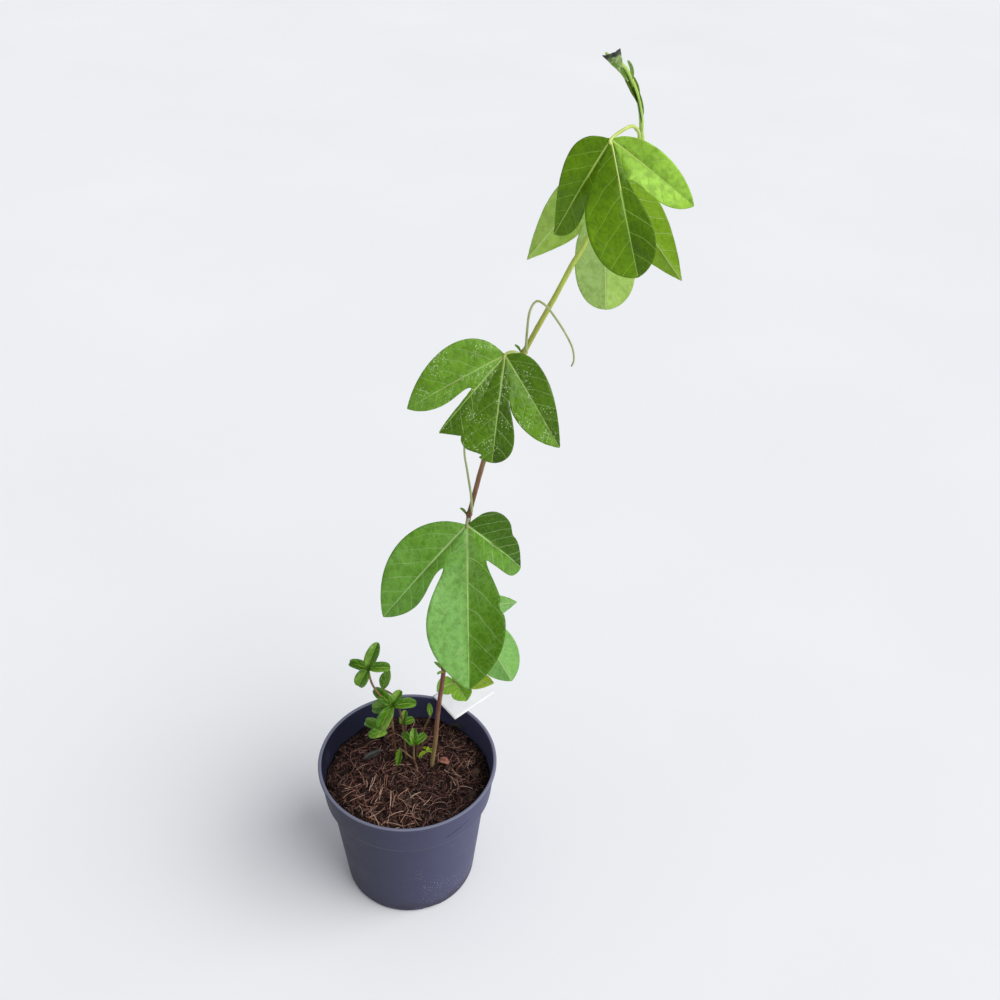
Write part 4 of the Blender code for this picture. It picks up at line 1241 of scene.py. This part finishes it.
# The stems of each side shoot as tube runs, and its leaves as (base, turn, lobes)
SHOOTS = {
    "shoot_left": (
        [[(-9.7, 15.8, 80.0, 0.9), (-9.7, 15.8, 93.0, 0.9), (-10.9, 12.0, 131.9, 0.8),
          (-12.3, 11.0, 144.2, 0.8), (-21.9, 10.0, 165.0, 0.75), (-24.1, 8.2, 182.5, 0.7)],
         [(-12.2, 11.0, 143.6, 0.7), (-9.8, 9.4, 147.7, 0.7)],
         [(-10.8, 12.2, 126.5, 0.6), (-14.9, 10.0, 123.2, 0.55)]],
        [((-24.1, 8.0, 182.0), FACING,
          fan((-82.0, 14.5, 0.36), (-21.0, 18.5, 0.30), (75.0, 12.5, 0.42), (150.0, 13.5, 0.44))),
         ((-9.8, 9.4, 147.5), FACING,
          fan((-80.0, 16.0, 0.34), (-31.0, 12.0, 0.38), (50.0, 16.0, 0.36), (96.0, 15.0, 0.40),
              (154.0, 18.0, 0.38))),
         ((-14.9, 10.0, 123.2), FACING, fan((67.0, 16.5, 0.34), (115.0, 13.0, 0.42)))],
    ),
    "shoot_back": (
        [[(-3.2, 18.0, 80.0, 0.85), (-3.2, 18.0, 93.0, 0.85), (-5.0, 19.0, 125.0, 0.75),
          (-9.5, 20.5, 144.0, 0.7), (-17.0, 20.0, 151.8, 0.6)]],
        [((-17.0, 20.0, 151.4), (60.0, -50.0, 0.0), single(14.0, 0.40, 30.0, 14.0)),
         ((-4.6, 18.6, 120.0), FACING, fan((-60.0, 9.0, 0.40), (-12.0, 10.0, 0.36)))],
    ),
    "shoot_thin": (
        [[(5.0, 17.0, 80.0, 0.8), (5.0, 17.0, 96.0, 0.8), (9.5, 18.0, 115.0, 0.65),
          (14.5, 19.0, 128.5, 0.55)]],
        [((14.4, 19.0, 128.0), (100.0, -40.0, 0.0), single(9.0, 0.30, 30.0, 14.0))],
    ),
    "shoot_front": (
        [[(5.5, 4.0, 80.0, 0.85), (5.5, 4.0, 93.0, 0.85), (4.0, 2.5, 104.0, 0.75), (4.2, 4.5, 116.0, 0.6)],
         [(4.0, 2.6, 103.0, 0.6), (-5.3, 4.0, 112.5, 0.5)]],
        [((4.2, 4.5, 115.6), FACING, fan((-44.0, 11.0, 0.38), (2.0, 11.5, 0.34), (46.0, 11.0, 0.38))),
         ((-5.3, 4.0, 112.5), (250.0, 68.0, 0.0), single(14.0, 0.24, -20.0, 14.0))],
    ),
}


def make_shoots(young):
    brown = mottled("shoot_bark", (0.20, 0.10, 0.05), 0.5, 160.0,
                    (0.3, (0.11, 0.05, 0.03)), (0.7, (0.27, 0.17, 0.08)))
    for node, (stems, leaves) in SHOOTS.items():
        tube_piece(node + "_stems", stems, brown, node, rough=0.08)
        for index, (base, turn, lobes) in enumerate(leaves):
            small_leaf(f"{node}_blade_{index + 1}", base, turn, lobes, young, node)


def make_scales(young):
    """Small pointed scales at the stem's nodes."""
    for index, (base, turn, length) in enumerate((
        ((23.0, 5.0, 187.2), (150.0, -30.0, 0.0), 6.0), ((24.5, 3.8, 185.5), (220.0, -10.0, 0.0), 5.0),
        ((39.0, -4.8, 318.6), (165.0, -45.0, 0.0), 5.0), ((66.6, -7.0, 425.2), (170.0, -50.0, 0.0), 5.0),
        ((105.0, 6.0, 507.0), (175.0, -40.0, 0.0), 4.5), ((118.4, 5.0, 534.5), (160.0, -50.0, 0.0), 4.5),
    )):
        small_leaf(f"node_scale_{index + 1}", base, turn, single(length, 0.28, 25.0, 22.0), young,
                   rows=10, columns=3)


# The tag


TAG_CORNER = Vector((30.3, 36.7, 106.6))
TAG_LENGTH = 36.0
TAG_WIDTH = 26.0
TAG_THICKNESS = 0.5
TAG_SAG = 0.25


def make_tag():
    """The blank tag that lies over the rim at the back right."""
    long_side = Vector((0.765, 0.632, 0.121)).normalized()
    short_side = Vector((-0.070, -0.170, 0.983)).cross(long_side).normalized()
    normal = long_side.cross(short_side)
    bm = bmesh.new()
    bmesh.ops.create_grid(bm, x_segments=18, y_segments=13, size=0.5)
    for vertex in bm.verts:
        x, y = vertex.co.x + 0.5, vertex.co.y + 0.5
        sag = TAG_SAG * math.sin(x * math.pi) * math.sin(y * 2.4)
        place = TAG_CORNER + long_side * x * TAG_LENGTH + short_side * y * TAG_WIDTH + normal * sag
        vertex.co = place * MM
    white = mottled("tag_white", (0.86, 0.87, 0.89), 0.45, 60.0, (0.3, (0.80, 0.81, 0.84)),
                    (0.7, (0.90, 0.905, 0.92)), grain=400.0, strength=0.1, detail=5.0)
    settle(thickened(mesh_object("blank_tag", bm), TAG_THICKNESS), "plant_tag", white)


def main():
    place_camera()
    make_studio()
    make_pot()
    make_mix()
    make_litter()
    make_tag()
    make_stem()
    make_vine_leaves()
    young = (
        leaf_surface("crinkled_young_leaf", 0.30, YOUNG_VEINS, vein_share=0.5, relief=0.0028, gloss=0.5),
        leaf_surface("young_underside", 0.45, YOUNG_VEINS),
    )
    make_tip(young)
    make_foot_bud()
    make_fallen_bits()
    make_shoots(young)
    make_scales(young)


main()
